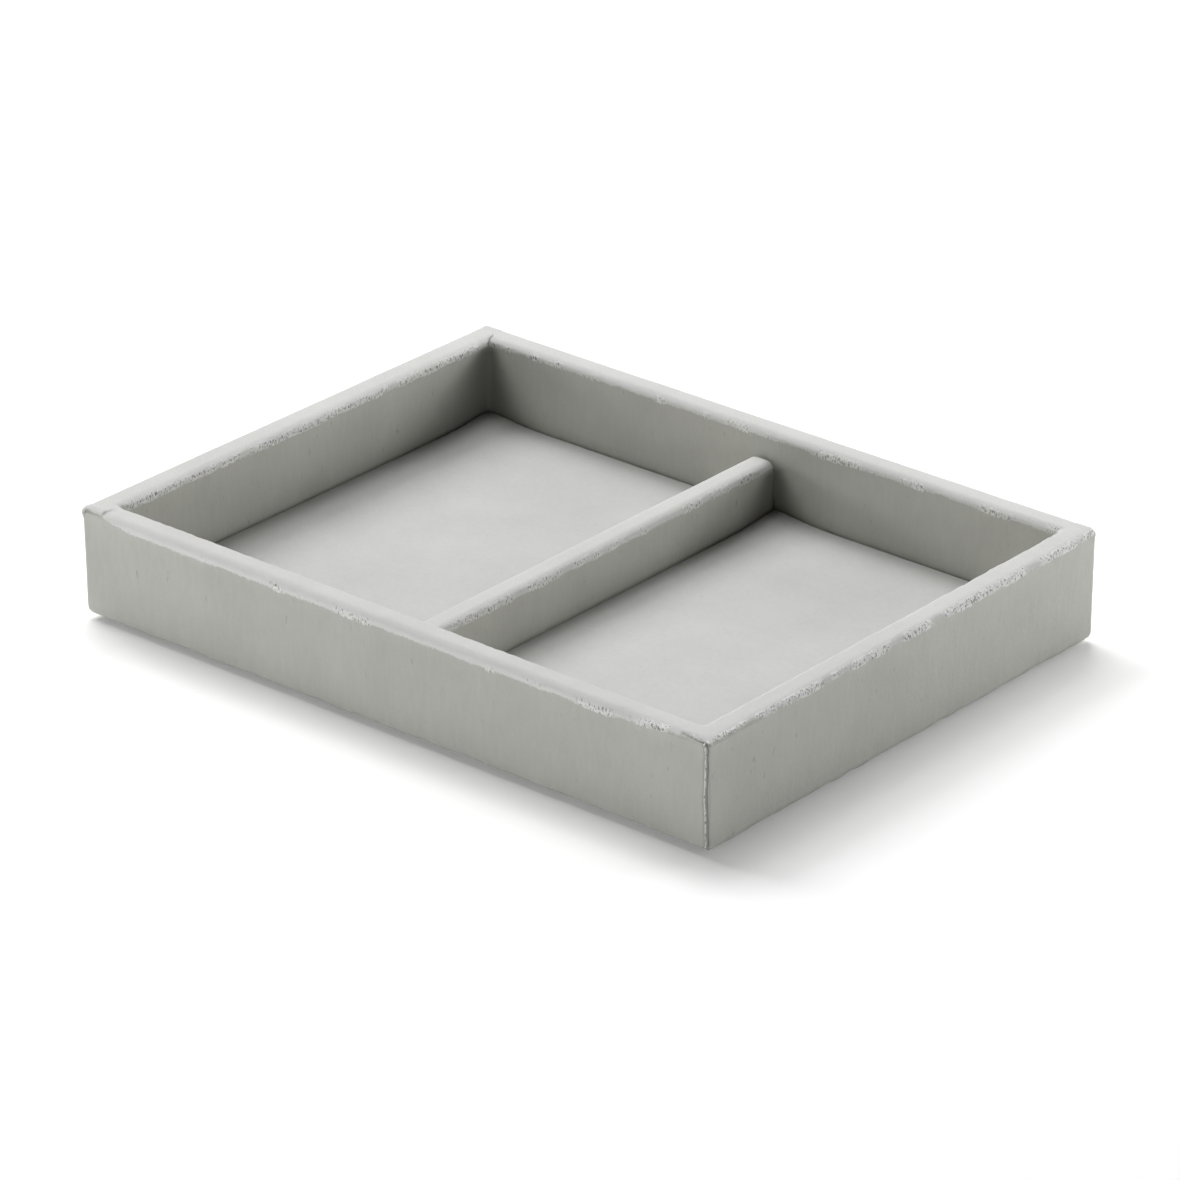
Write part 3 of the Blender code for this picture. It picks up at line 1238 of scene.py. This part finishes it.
    def closing_seam(self, points: np.ndarray, wander: np.ndarray) -> tuple[np.ndarray, np.ndarray]:
        """The upright seam by the front right arris: a thin lip between two grooves.

        The distance across it is measured round the arris, negative on the front face.

        Args:
            points: The pile's places.
            wander: A small unevenness that the seams follow.

        Returns:
            The share of the lip and the share of the grooves.
        """
        seam = self.closing
        across = (points[:, 0] - self.high.x) + (points[:, 1] - self.low.y) - seam.place
        drawn_out = points * [0.05, 0.05, 1.0]
        stray = seam.stray * soft_noise(drawn_out, seam.stray_grain, 12)
        across = across + seam.unevenness * wander + stray
        span = smooth_step(self.high.z - points[:, 2], *seam.start)
        inset = self.from_outside(points)
        near = inset[:, 0] + inset[:, 1] < seam.zone
        outer = near & (inset[:, :2].min(axis=1) < seam.skin)
        lip = bell(across, seam.lip_width) * span * outer
        grooves = sum(share * bell(across - place, width) for place, width, share in seam.grooves)
        return lip, grooves * span * outer

    def inner_seams(self, points: np.ndarray) -> tuple[np.ndarray, np.ndarray]:
        """The four upright seams down the inner corners.

        Args:
            points: The pile's places.

        Returns:
            The share of the seams, and the share of the painted shadow about some of them.
        """
        past_x = np.abs(points[:, 0]) - (self.high.x - self.wall)
        past_y = np.abs(points[:, 1]) - (self.high.y - self.wall)
        below = self.high.z - points[:, 2]
        near = bell(np.hypot(past_x, past_y), self.inner_seam[0])
        seams = near * smooth_step(below, *self.inner_start)
        within = self.from_outside(points).min(axis=1) > 0.7 * self.wall
        corner_shadow = np.zeros(len(points))
        for place, top, amount in self.shadowed_corners:
            corner_shadow = np.maximum(corner_shadow, amount * within * painted_corner_shadow(points, place, top))
        return seams, corner_shadow

    def painted_shading(self, points: np.ndarray) -> np.ndarray:
        """How dark the painted shade is in the seams, grooves and shadowed corners.

        Args:
            points: The pile's places.

        Returns:
            From 0 to 1 for each point.
        """
        wander = self.wander(points)
        _, grooves = self.closing_seam(points, wander)
        seams, corner_shadow = self.inner_seams(points)
        upright = np.maximum(self.closing.shade * grooves, self.inner_shade * seams)
        dark = np.maximum(upright, corner_shadow)
        for fold in CORNER_FOLDS:
            slit, groove, _ = self.cap_edge(points, fold, wander)
            dark = np.maximum(dark, fold.shade * np.maximum(slit, groove))
        return dark

    def wander(self, points: np.ndarray) -> np.ndarray:
        """A small unevenness that the seams follow."""
        return self.wander_size[0] * soft_noise(points, self.wander_size[1], 11)

    def corner_seams(self, points: np.ndarray) -> np.ndarray:
        """How far the pile sinks or stands at all the corners' seams.

        Args:
            points: The pile's places.

        Returns:
            The amount to move each point along its normal.
        """
        seam = self.closing
        wander = self.wander(points)
        lip, grooves = self.closing_seam(points, wander)
        seams, _ = self.inner_seams(points)
        amount = seam.lip_rise * lip - seam.groove_depth * grooves - self.inner_seam[1] * seams
        for fold in CORNER_FOLDS:
            slit, groove, cap = self.cap_edge(points, fold, wander)
            amount += fold.proud * cap - fold.slit * slit - fold.groove * groove
        return amount

    def nap(self, points: np.ndarray) -> np.ndarray:
        """How far the pile stands in tufts and slow waves.

        The tufts are strongest where the fanned pile of the rim ends. Crumples run along the bottom.

        Args:
            points: The pile's places.

        Returns:
            The amount to move each point along its normal.
        """
        frayed = bell(self.fan(points) * MM, FRAYED_SPREAD)
        fine, coarse = self.tuft_grains
        tufts = soft_noise(points, fine, 3) + 0.6 * soft_noise(points, coarse, 4)
        long, short = self.wave_grains
        waves = soft_noise(points, long, 5) + 0.5 * soft_noise(points, short, 6)
        foot = smooth_step(points[:, 2] - self.low.z, *self.crumple_foot)
        crumples = soft_noise(points, self.crumple_grain, 7) * foot
        standing = (self.tuft + self.frayed_tuft * frayed) * tufts
        return standing + self.wave * waves + self.crumple * crumples

    def build(self) -> bpy.types.Object:
        """Builds the band with its pile raised.

        Returns:
            The band's mesh object.
        """
        surface = self.surface()
        smooth = surface.points.copy()
        surface.spread_pile(self.swell(smooth))
        surface.raise_pile(self.corner_seams(smooth))
        surface.raise_pile(self.nap(smooth))
        surface.points = surface.points + self.settle(smooth)
        return surface.to_object("wall_wrap")

    def flat_size(self) -> tuple[float, float]:
        """The size of the cut band.

        Returns:
            The way round outside, and the way across: hem, outer face, rim and inner face.
        """
        around = 2 * (self.high.x - self.low.x) + 2 * (self.high.y - self.low.y)
        height = self.high.z - self.low.z
        across = self.hem_width + height + self.wall + self.high.z - self.foot
        return around, across


@dataclass
class VelvetCover:
    """Velvet folded over a board or card and open below, such as the divider or a floor pad.

    Attributes:
        name: The piece's name.
        low: The lowest corner of its box.
        high: The highest corner of its box.
        radius: Radii of the folded edges along x, y and z.
        step: Spacing of the points on its top.
        margin: How far from each edge the points stand close together.
        margin_steps: Steps between them there.
        leg_rows: Rows of points down each leg.
        thickness: The velvet's own thickness.
        tuft: How far the level pile's tufts stand.
        edge_tuft: How much further they stand where the fanned pile ends.
        wave: Height of the pile's slow waves.
        grains: Widths of the fine tufts, the coarse tufts and the waves.
        fan_reach: How far below the top the pale, fanned pile reaches.
        stand: How far the fanned pile stands out level from its right side.
        stand_ends: Distances from its ends between which the pile starts to stand out.
        frayed: How much of the pale line is frayed, from 0 to 1.
        end_drop: How far the top sinks at both ends.
        end_zone: How far from the ends it sinks, and how far down that is felt.
        shadowed_corners: Each corner's place in plan and how dark its painted shadow is.
        shadow_strip: Width and length of a pad's painted corner shadow, or none where it follows a
            wall.
        corner_lift: How far a pad stands up in its shadowed corners.
        lift_zone: How far from the corner it stands up.
        foot_shadow: How dark the painted shadow is along the pad's left edge.
        foot_width: How far from that edge it is dark.
        seed: Chooses the pattern of its tufts and waves.
    """

    name: str
    low: Vector
    high: Vector
    radius: tuple[float, float, float]
    step: tuple[float, float]
    margin: float
    leg_rows: int
    margin_steps: int = 8
    thickness: float = 1.0 * MM
    tuft: float = 0.015 * MM
    edge_tuft: float = 0.05 * MM
    wave: float = 0.03 * MM
    grains: tuple[float, float, float] = (0.65 * MM, 1.5 * MM, 16 * MM)
    fan_reach: float = 0.0
    stand: float = 0.0
    stand_ends: tuple[float, float] = (0.4 * MM, 2.4 * MM)
    frayed: float = 0.0
    end_drop: float = 0.0
    end_zone: tuple[float, float] = (0.9 * MM, 7.0 * MM)
    shadowed_corners: tuple[tuple[tuple[float, float], float], ...] = ()
    shadow_strip: tuple[float, float] | None = None
    corner_lift: float = 0.0
    lift_zone: float = 8.0 * MM
    foot_shadow: float = 0.0
    foot_width: float = 3.0 * MM
    seed: int = 20

    def shell(self, shrink: float) -> tuple[np.ndarray, np.ndarray, np.ndarray]:
        """One side of the velvet: a grid over the top, and rings down the legs.

        Each point starts on a plain box. It is then drawn to the core, the box less its radius on
        every side but the bottom, and pushed out from there to the radius, which rounds every edge.

        Args:
            shrink: How far this side lies inside the outer one.

        Returns:
            The points, the quads and the lowest ring's point numbers.
        """
        low = np.array(self.low) + np.array([shrink, shrink, 0.0])
        high = np.array(self.high) - shrink
        radius = np.maximum(np.array(self.radius) - shrink, LEAST_RADIUS)
        size = high - low
        width, depth, _ = self.high - self.low
        share_x = graded_steps(width, self.margin, self.margin_steps, self.step[0]) / width
        share_y = graded_steps(depth, self.margin, self.margin_steps, self.step[1]) / depth
        places_x = low[0] + share_x * size[0]
        places_y = low[1] + share_y * size[1]
        count_x, count_y = len(places_x), len(places_y)
        grid_x, grid_y = np.meshgrid(places_x, places_y, indexing="ij")
        top = np.stack([grid_x, grid_y, np.full_like(grid_x, high[2])], axis=-1).reshape(-1, 3)
        number = np.arange(count_x * count_y).reshape(count_x, count_y)
        loop = np.concatenate(
            [number[:-1, 0], number[-1, :-1], number[:0:-1, -1], number[0, :0:-1]]
        )
        crowding = 1.4
        drops = size[2] * (np.arange(1, self.leg_rows + 1) / self.leg_rows) ** crowding
        rings = np.repeat(top[loop][None], self.leg_rows, axis=0)
        rings[..., 2] -= drops[:, None]
        points = np.concatenate([top, rings.reshape(-1, 3)])
        core_low = low + radius * [1.0, 1.0, 0.0]
        core_high = high - radius
        core = np.clip(points, core_low, core_high)
        core[:, 2] = np.minimum(points[:, 2], core_high[2])
        away = points - core
        reach = np.maximum(np.linalg.norm(away / radius, axis=1, keepdims=True), 1e-12)
        points = core + away * np.minimum(1.0, 1.0 / reach)
        flat = np.stack(
            [number[:-1, :-1], number[1:, :-1], number[1:, 1:], number[:-1, 1:]], axis=-1
        ).reshape(-1, 4)
        levels = [loop] + [
            count_x * count_y + len(loop) * row + np.arange(len(loop))
            for row in range(self.leg_rows)
        ]
        legs = [quads_between(lower, upper) for upper, lower in zip(levels, levels[1:])]
        return points, np.concatenate([flat, *legs]), levels[-1]

    def surface(self) -> Surface:
        """The closed sheet.

        Returns:
            The pile side, the backing and the cut edge between them, as one surface.
        """
        points, quads, edge = self.shell(0.0)
        back_points, back_quads, back_edge = self.shell(self.thickness)
        shift = len(points)
        rim = quads_between(back_edge + shift, edge)
        pile = np.concatenate([np.ones(len(points)), np.zeros(len(back_points))])
        faces = np.concatenate([quads, back_quads[:, ::-1] + shift, rim])
        points = np.concatenate([points, back_points])
        fray = np.full(len(points), self.frayed)
        return Surface(points, faces, pile, self.fan(points), self.painted_shading(points), fray)

    def fan(self, points: np.ndarray) -> np.ndarray:
        """How far each point lies within the pale pile of the folded top, in millimetres.

        Args:
            points: The pile's places.

        Returns:
            The reach less the depth below the top, or the level pile's value where nothing fans.
        """
        if self.fan_reach <= 0:
            return np.full(len(points), LEVEL_PILE)
        return (self.fan_reach - (self.high.z - points[:, 2])) / MM

    def painted_shading(self, points: np.ndarray) -> np.ndarray:
        """How dark the painted shadow is, in the corners and along the left edge.

        Args:
            points: The pile's places.

        Returns:
            From 0 to 1 for each point.
        """
        dark = self.foot_shadow * bell(points[:, 0] - self.low.x, self.foot_width)
        for place, amount in self.shadowed_corners:
            dark = np.maximum(dark, amount * self.corner_shadow(points, place))
        return dark

    def corner_shadow(self, points: np.ndarray, place: tuple[float, float]) -> np.ndarray:
        """How dark the painted shadow is about one corner.

        Args:
            points: The pile's places.
            place: The corner's place in plan.

        Returns:
            From 0 to 1 for each point. A pad's is a bell in a narrow strip.
        """
        if self.shadow_strip is None:
            return painted_corner_shadow(points, place, self.high.z)
        away = (points[:, :2] - np.array(place)) / self.shadow_strip
        return bell(np.linalg.norm(away, axis=1), 1.0)

    def from_ends(self, points: np.ndarray) -> np.ndarray:
        """Each point's distance along y from the nearer end."""
        return np.minimum(points[:, 1] - self.low.y, self.high.y - points[:, 1])

    def bend(self, points: np.ndarray) -> np.ndarray:
        """How far each point sinks at the ends or stands up in the corners, in bells about them.

        Args:
            points: The pile's places.

        Returns:
            How far each point rises.
        """
        along, down = self.end_zone
        high = smooth_step(points[:, 2], self.high.z - down, self.high.z)
        rise = -self.end_drop * bell(self.from_ends(points), along) * high
        for place, _ in self.shadowed_corners:
            away = np.linalg.norm(points[:, :2] - place, axis=1)
            rise += self.corner_lift * bell(away, self.lift_zone)
        return rise

    def nap(self, points: np.ndarray) -> np.ndarray:
        """How far the pile stands: fine tufts, more over the folded edges, and slow waves.

        Args:
            points: The pile's places.

        Returns:
            The amount to move each point along its normal.
        """
        layers = [soft_noise(points, grain, self.seed + n) for n, grain in enumerate(self.grains)]
        fine, coarse, waves = layers
        frayed = bell(self.fan(points) * MM, FRAYED_SPREAD)
        tufts = (self.tuft + self.edge_tuft * frayed) * (fine + 0.6 * coarse)
        return tufts + self.wave * waves

    def build(self) -> bpy.types.Object:
        """Builds the cover with its pile raised.

        Returns:
            The cover's mesh object.
        """
        surface = self.surface()
        smooth = surface.points.copy()
        right = smooth_step(smooth[:, 0], self.low.x, self.high.x)
        right = right * smooth_step(self.from_ends(smooth), *self.stand_ends)
        surface.spread_pile(self.stand * right * shoulder_bell(self.high.z - smooth[:, 2]))
        surface.raise_pile(self.nap(smooth))
        surface.points[:, 2] += self.bend(smooth)
        return surface.to_object(self.name)

    def flat_size(self) -> tuple[float, float]:
        """The size of the cut sheet.

        Returns:
            Its width and depth: the top with a leg on every side.
        """
        leg = self.high.z - self.low.z
        return self.high.x - self.low.x + 2 * leg, self.high.y - self.low.y + 2 * leg


# The tray


def paint(item: bpy.types.Object, material: bpy.types.Material) -> None:
    """Gives a CAD object one material in all its slots.

    Args:
        item: The object.
        material: Its new material.
    """
    if not item.material_slots:
        item.data.materials.append(material)
    for entry in item.material_slots:
        entry.material = material


@dataclass
class Tray:
    """The whole tray: its velvet pieces over the frame's boards, cards and cover.

    Attributes:
        velvet: The velvet of the walls and the divider.
        floor_velvet: The same velvet on the level floors, a little darker.
        wall_shadow: How dark the walls' painted shadow is, in the back left corner and by the
            divider.
        divider_shadow: How dark the divider's own painted shadow is.
        pad_shadow: How dark the pads' painted shadow is.
    """

    velvet: VelvetFinish = VelvetFinish()
    floor_velvet: VelvetFinish = VelvetFinish(
        name="grey velvet pile laid flat",
        dark=(0.505, 0.507, 0.495),
        light=(0.585, 0.588, 0.575),
    )
    wall_shadow: tuple[float, float] = (0.74, 0.72)
    divider_shadow: float = 0.76
    pad_shadow: float = 0.70

    def dress_velvet(
        self,
        piece: bpy.types.Object,
        node: str,
        material: bpy.types.Material,
    ) -> None:
        """Args:
            piece: The new piece.
            node: The frame's node that it stands for.
            material: The velvet.
        """
        piece.data.materials.append(material)
        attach(piece, "root")
        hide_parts(node)
        LOG.info("%s stands for %s, %d faces", piece.name, node, len(piece.data.polygons))

    def build_band(self, material: bpy.types.Material) -> None:
        """Builds and dresses the band of velvet round the four walls.

        Args:
            material: The velvet.
        """
        low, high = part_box("wall_velvet")
        _, divider_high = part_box("divider_velvet")
        behind = high[1] - WallVelvet.wall
        # Painted shadows in the back left corner and at the divider's back end.
        back_left_shadow, divider_shadow = self.wall_shadow
        back_left = ((low[0] + WallVelvet.wall, behind), high[2], back_left_shadow)
        back_divider = ((divider_high[0], behind), divider_high[2], divider_shadow)
        band = WallVelvet(Vector(low), Vector(high), shadowed_corners=(back_left, back_divider))
        self.dress_velvet(band.build(), "wall_velvet", material)

    def build_divider(self, material: bpy.types.Material) -> None:
        """Builds and dresses the velvet over the divider's board.

        Args:
            material: The velvet.
        """
        low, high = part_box("divider_velvet")
        cover = VelvetCover(
            name="divider_wrap",
            low=Vector(low),
            high=Vector(high),
            radius=(1.5 * MM, 0.6 * MM, 1.3 * MM),
            step=(0.3 * MM, 0.6 * MM),
            margin=2.0 * MM,
            leg_rows=18,
            edge_tuft=0.06 * MM,
            fan_reach=1.6 * MM,
            stand=0.35 * MM,
            frayed=0.5,
            end_drop=0.7 * MM,
            # Painted shadow at the divider's back end.
            shadowed_corners=((high[:2], self.divider_shadow),),
            seed=31,
        )
        self.dress_velvet(cover.build(), "divider_velvet", material)

    def build_pad(self, side: str, seed: int, material: bpy.types.Material) -> None:
        """Builds and dresses one compartment's floor pad.

        Args:
            side: The compartment, left or right.
            seed: Chooses the pattern of its tufts and waves.
            material: The velvet.
        """
        node = side + "_floor_velvet"
        low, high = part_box(node)
        pad = VelvetCover(
            name=side + "_floor_pad",
            low=Vector(low),
            high=Vector(high),
            radius=(0.5 * MM, 0.5 * MM, 0.5 * MM),
            step=(0.8 * MM, 0.8 * MM),
            margin=1.5 * MM,
            leg_rows=4,
            tuft=0.02 * MM,
            # Painted shadow in the pad's back left corner.
            shadowed_corners=(((low[0], high[1]), self.pad_shadow),),
            shadow_strip=(3.0 * MM, 14.0 * MM),
            corner_lift=1.0 * MM,
            # Painted shadow cast by the wall or the divider along the pad's left edge.
            foot_shadow=0.32,
            seed=seed,
        )
        self.dress_velvet(pad.build(), node, material)

    def paint_hidden(self) -> None:
        """Gives the boards, the cards and the cover below their finishes."""
        for slot, ending in HIDDEN_ENDINGS.items():
            material = HIDDEN_FINISHES[slot].material()
            names = [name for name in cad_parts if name.endswith(ending)]
            for name in names:
                paint(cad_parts[name], material)
            LOG.info("%s finished on %s", slot.value, ", ".join(names))

    def build(self) -> None:
        """Builds the velvet pieces and finishes what lies under them."""
        standing, laid = self.velvet.material(), self.floor_velvet.material()
        self.build_band(standing)
        self.build_divider(standing)
        for side, seed in (("left", 41), ("right", 51)):
            self.build_pad(side, seed, laid)
        self.paint_hidden()


# The studio


def direction(azimuth: float, elevation: float) -> Vector:
    """The way from the tray's middle to a lamp or camera.

    It is (cos e sin a, -cos e cos a, sin e), for azimuth a and elevation e.

    Args:
        azimuth: Degrees from the front, anticlockwise seen from above.
        elevation: Degrees above the floor.

    Returns:
        The unit vector.
    """
    turn, rise = math.radians(azimuth), math.radians(elevation)
    level = math.cos(rise)
    return Vector((level * math.sin(turn), -level * math.cos(turn), math.sin(rise)))


@dataclass(frozen=True)
class SoftLamp:
    """A square area lamp that faces the tray.

    Attributes:
        name: The lamp's name.
        azimuth: Where it stands, in degrees from the front, anticlockwise seen from above.
        elevation: Its height in degrees above the floor.
        power: Its power in watts.
        size: The side of its square.
        distance: How far it is from the tray's middle.
    """

    name: str
    azimuth: float
    elevation: float
    power: float
    size: float = 0.8
    distance: float = 1.6

    def build(self) -> None:
        """Adds the lamp, turned to the origin and unseen by the camera."""
        data = bpy.data.lights.new(self.name, "AREA")
        data.shape = "SQUARE"
        data.size = self.size
        data.energy = self.power
        item = bpy.data.objects.new(self.name, data)
        away = direction(self.azimuth, self.elevation)
        item.location = away * self.distance
        item.rotation_euler = away.to_track_quat("Z", "Y").to_euler()
        item.visible_camera = False
        bpy.context.scene.collection.objects.link(item)


@dataclass
class Studio:
    """The plain pale floor, the white surround, the lamps and the camera.

    Attributes:
        floor_colour: The floor's own colour.
        floor_lift: Added to the floor where the camera sees it, so that it is white out of shadow.
        floor_size: The side of its square.
        lamps: The key lamps behind the tray's left and the low fills about it.
        camera_azimuth: Where the camera stands, in degrees from the front.
        camera_elevation: Its height in degrees above the floor.
        camera_roll: How far it is turned about its own axis, in degrees.
        camera_distance: How far it is from its target.
        camera_target: The place that it looks at.
        focal_pixels: Its focal length, measured in the photograph's pixels.
        frame_pixels: The photograph's width in pixels.
        sensor_width: Its sensor's width in millimetres.
        far_end: How far it sees.
    """

    floor_colour: float = 0.90
    floor_lift: float = 0.18
    floor_size: float = 12.0
    lamps: tuple[SoftLamp, ...] = (
        SoftLamp("high key behind left", azimuth=-135.0, elevation=70.0, power=11.5),
        SoftLamp("middle key behind left", azimuth=-135.0, elevation=48.0, power=6.3),
        SoftLamp("left key", azimuth=-90.0, elevation=48.0, power=14.6),
        SoftLamp("low front left fill", azimuth=-45.0, elevation=6.0, power=3.3, size=0.3),
        SoftLamp("low front right fill", azimuth=45.0, elevation=6.0, power=1.9, size=0.3),
        SoftLamp(
            "near front left fill", azimuth=-30.0, elevation=12.0, power=0.25, size=0.3, distance=0.45
        ),
        SoftLamp(
            "near back right fill", azimuth=150.0, elevation=12.0, power=1.25, size=0.3, distance=0.45
        ),
    )
    camera_azimuth: float = 38.87
    camera_elevation: float = 25.36
    camera_roll: float = 0.92
    camera_distance: float = 1189.1 * MM
    camera_target: tuple[float, float, float] = (-10.40 * MM, 12.74 * MM, 0.87 * MM)
    focal_pixels: float = 5972.05
    frame_pixels: float = 1180.0
    sensor_width: float = 36.0
    far_end: float = 30.0

    def build_world(self) -> None:
        """The surround: white to the camera and in reflections. It gives no other light."""
        world = bpy.data.worlds.new("pale surround")
        bpy.context.scene.world = world
        world.use_nodes = True
        nodes, links = world.node_tree.nodes, world.node_tree.links
        background = nodes["Background"]
        path = nodes.new("ShaderNodeLightPath")
        seen = nodes.new("ShaderNodeMath")
        seen.operation = "MAXIMUM"
        links.new(path.outputs["Is Camera Ray"], seen.inputs[0])
        links.new(path.outputs["Is Glossy Ray"], seen.inputs[1])
        links.new(seen.outputs["Value"], background.inputs["Strength"])
        background.inputs["Color"].default_value = (1.0, 1.0, 1.0, 1.0)

    def build_floor(self) -> None:
        """The floor: a wide plane that keeps the tray's shadow and is white elsewhere."""
        half = self.floor_size / 2
        data = bpy.data.meshes.new("studio_floor")
        corners = [(-half, -half, 0), (half, -half, 0), (half, half, 0), (-half, half, 0)]
        data.from_pydata(corners, [], [(0, 1, 2, 3)])
        item = bpy.data.objects.new("studio_floor", data)
        bpy.context.scene.collection.objects.link(item)
        bench, shader = new_bench("pale floor")
        tone = (self.floor_colour,) * 3
        shader.inputs["Base Color"].default_value = (*tone, 1.0)
        shader.inputs["Roughness"].default_value = 1.0
        shader.inputs["Specular IOR Level"].default_value = 0.0
        path = bench.add("ShaderNodeLightPath")
        lift = bench.add("ShaderNodeMath", operation="MULTIPLY")
        lift.inputs[1].default_value = self.floor_lift
        bench.join(path.outputs["Is Camera Ray"], lift.inputs[0])
        bench.join(lift.outputs["Value"], shader.inputs["Emission Strength"])
        shader.inputs["Emission Color"].default_value = (1.0, 1.0, 1.0, 1.0)
        data.materials.append(bench.material)

    def build_camera(self) -> None:
        """The camera at the photograph's view, turned about its own axis by the roll."""
        away = direction(self.camera_azimuth, self.camera_elevation)
        right = (-away).cross(Vector((0, 0, 1))).normalized()
        up = right.cross(-away)
        roll = math.radians(self.camera_roll)
        cosine, sine = math.cos(roll), math.sin(roll)
        right, up = cosine * right + sine * up, cosine * up - sine * right
        place = Vector(self.camera_target) + away * self.camera_distance
        turned = Matrix((right, up, away)).transposed().to_4x4()
        data = bpy.data.cameras.new("camera")
        data.sensor_width = self.sensor_width
        data.lens = self.focal_pixels / self.frame_pixels * self.sensor_width
        data.clip_end = self.far_end
        item = bpy.data.objects.new("camera", data)
        item.matrix_world = Matrix.Translation(place) @ turned
        bpy.context.scene.collection.objects.link(item)
        bpy.context.scene.camera = item

    def build(self) -> None:
        """Builds the studio and sets the plain view transform."""
        self.build_world()
        self.build_floor()
        for lamp in self.lamps:
            lamp.build()
        self.build_camera()
        bpy.context.scene.view_settings.view_transform = "Standard"
        LOG.info("studio ready")


def main() -> None:
    """Builds the tray and the studio."""
    logging.basicConfig(level=logging.INFO, format="%(name)s: %(message)s")
    Studio().build()
    Tray().build()


if __name__ == "__main__":
    main()
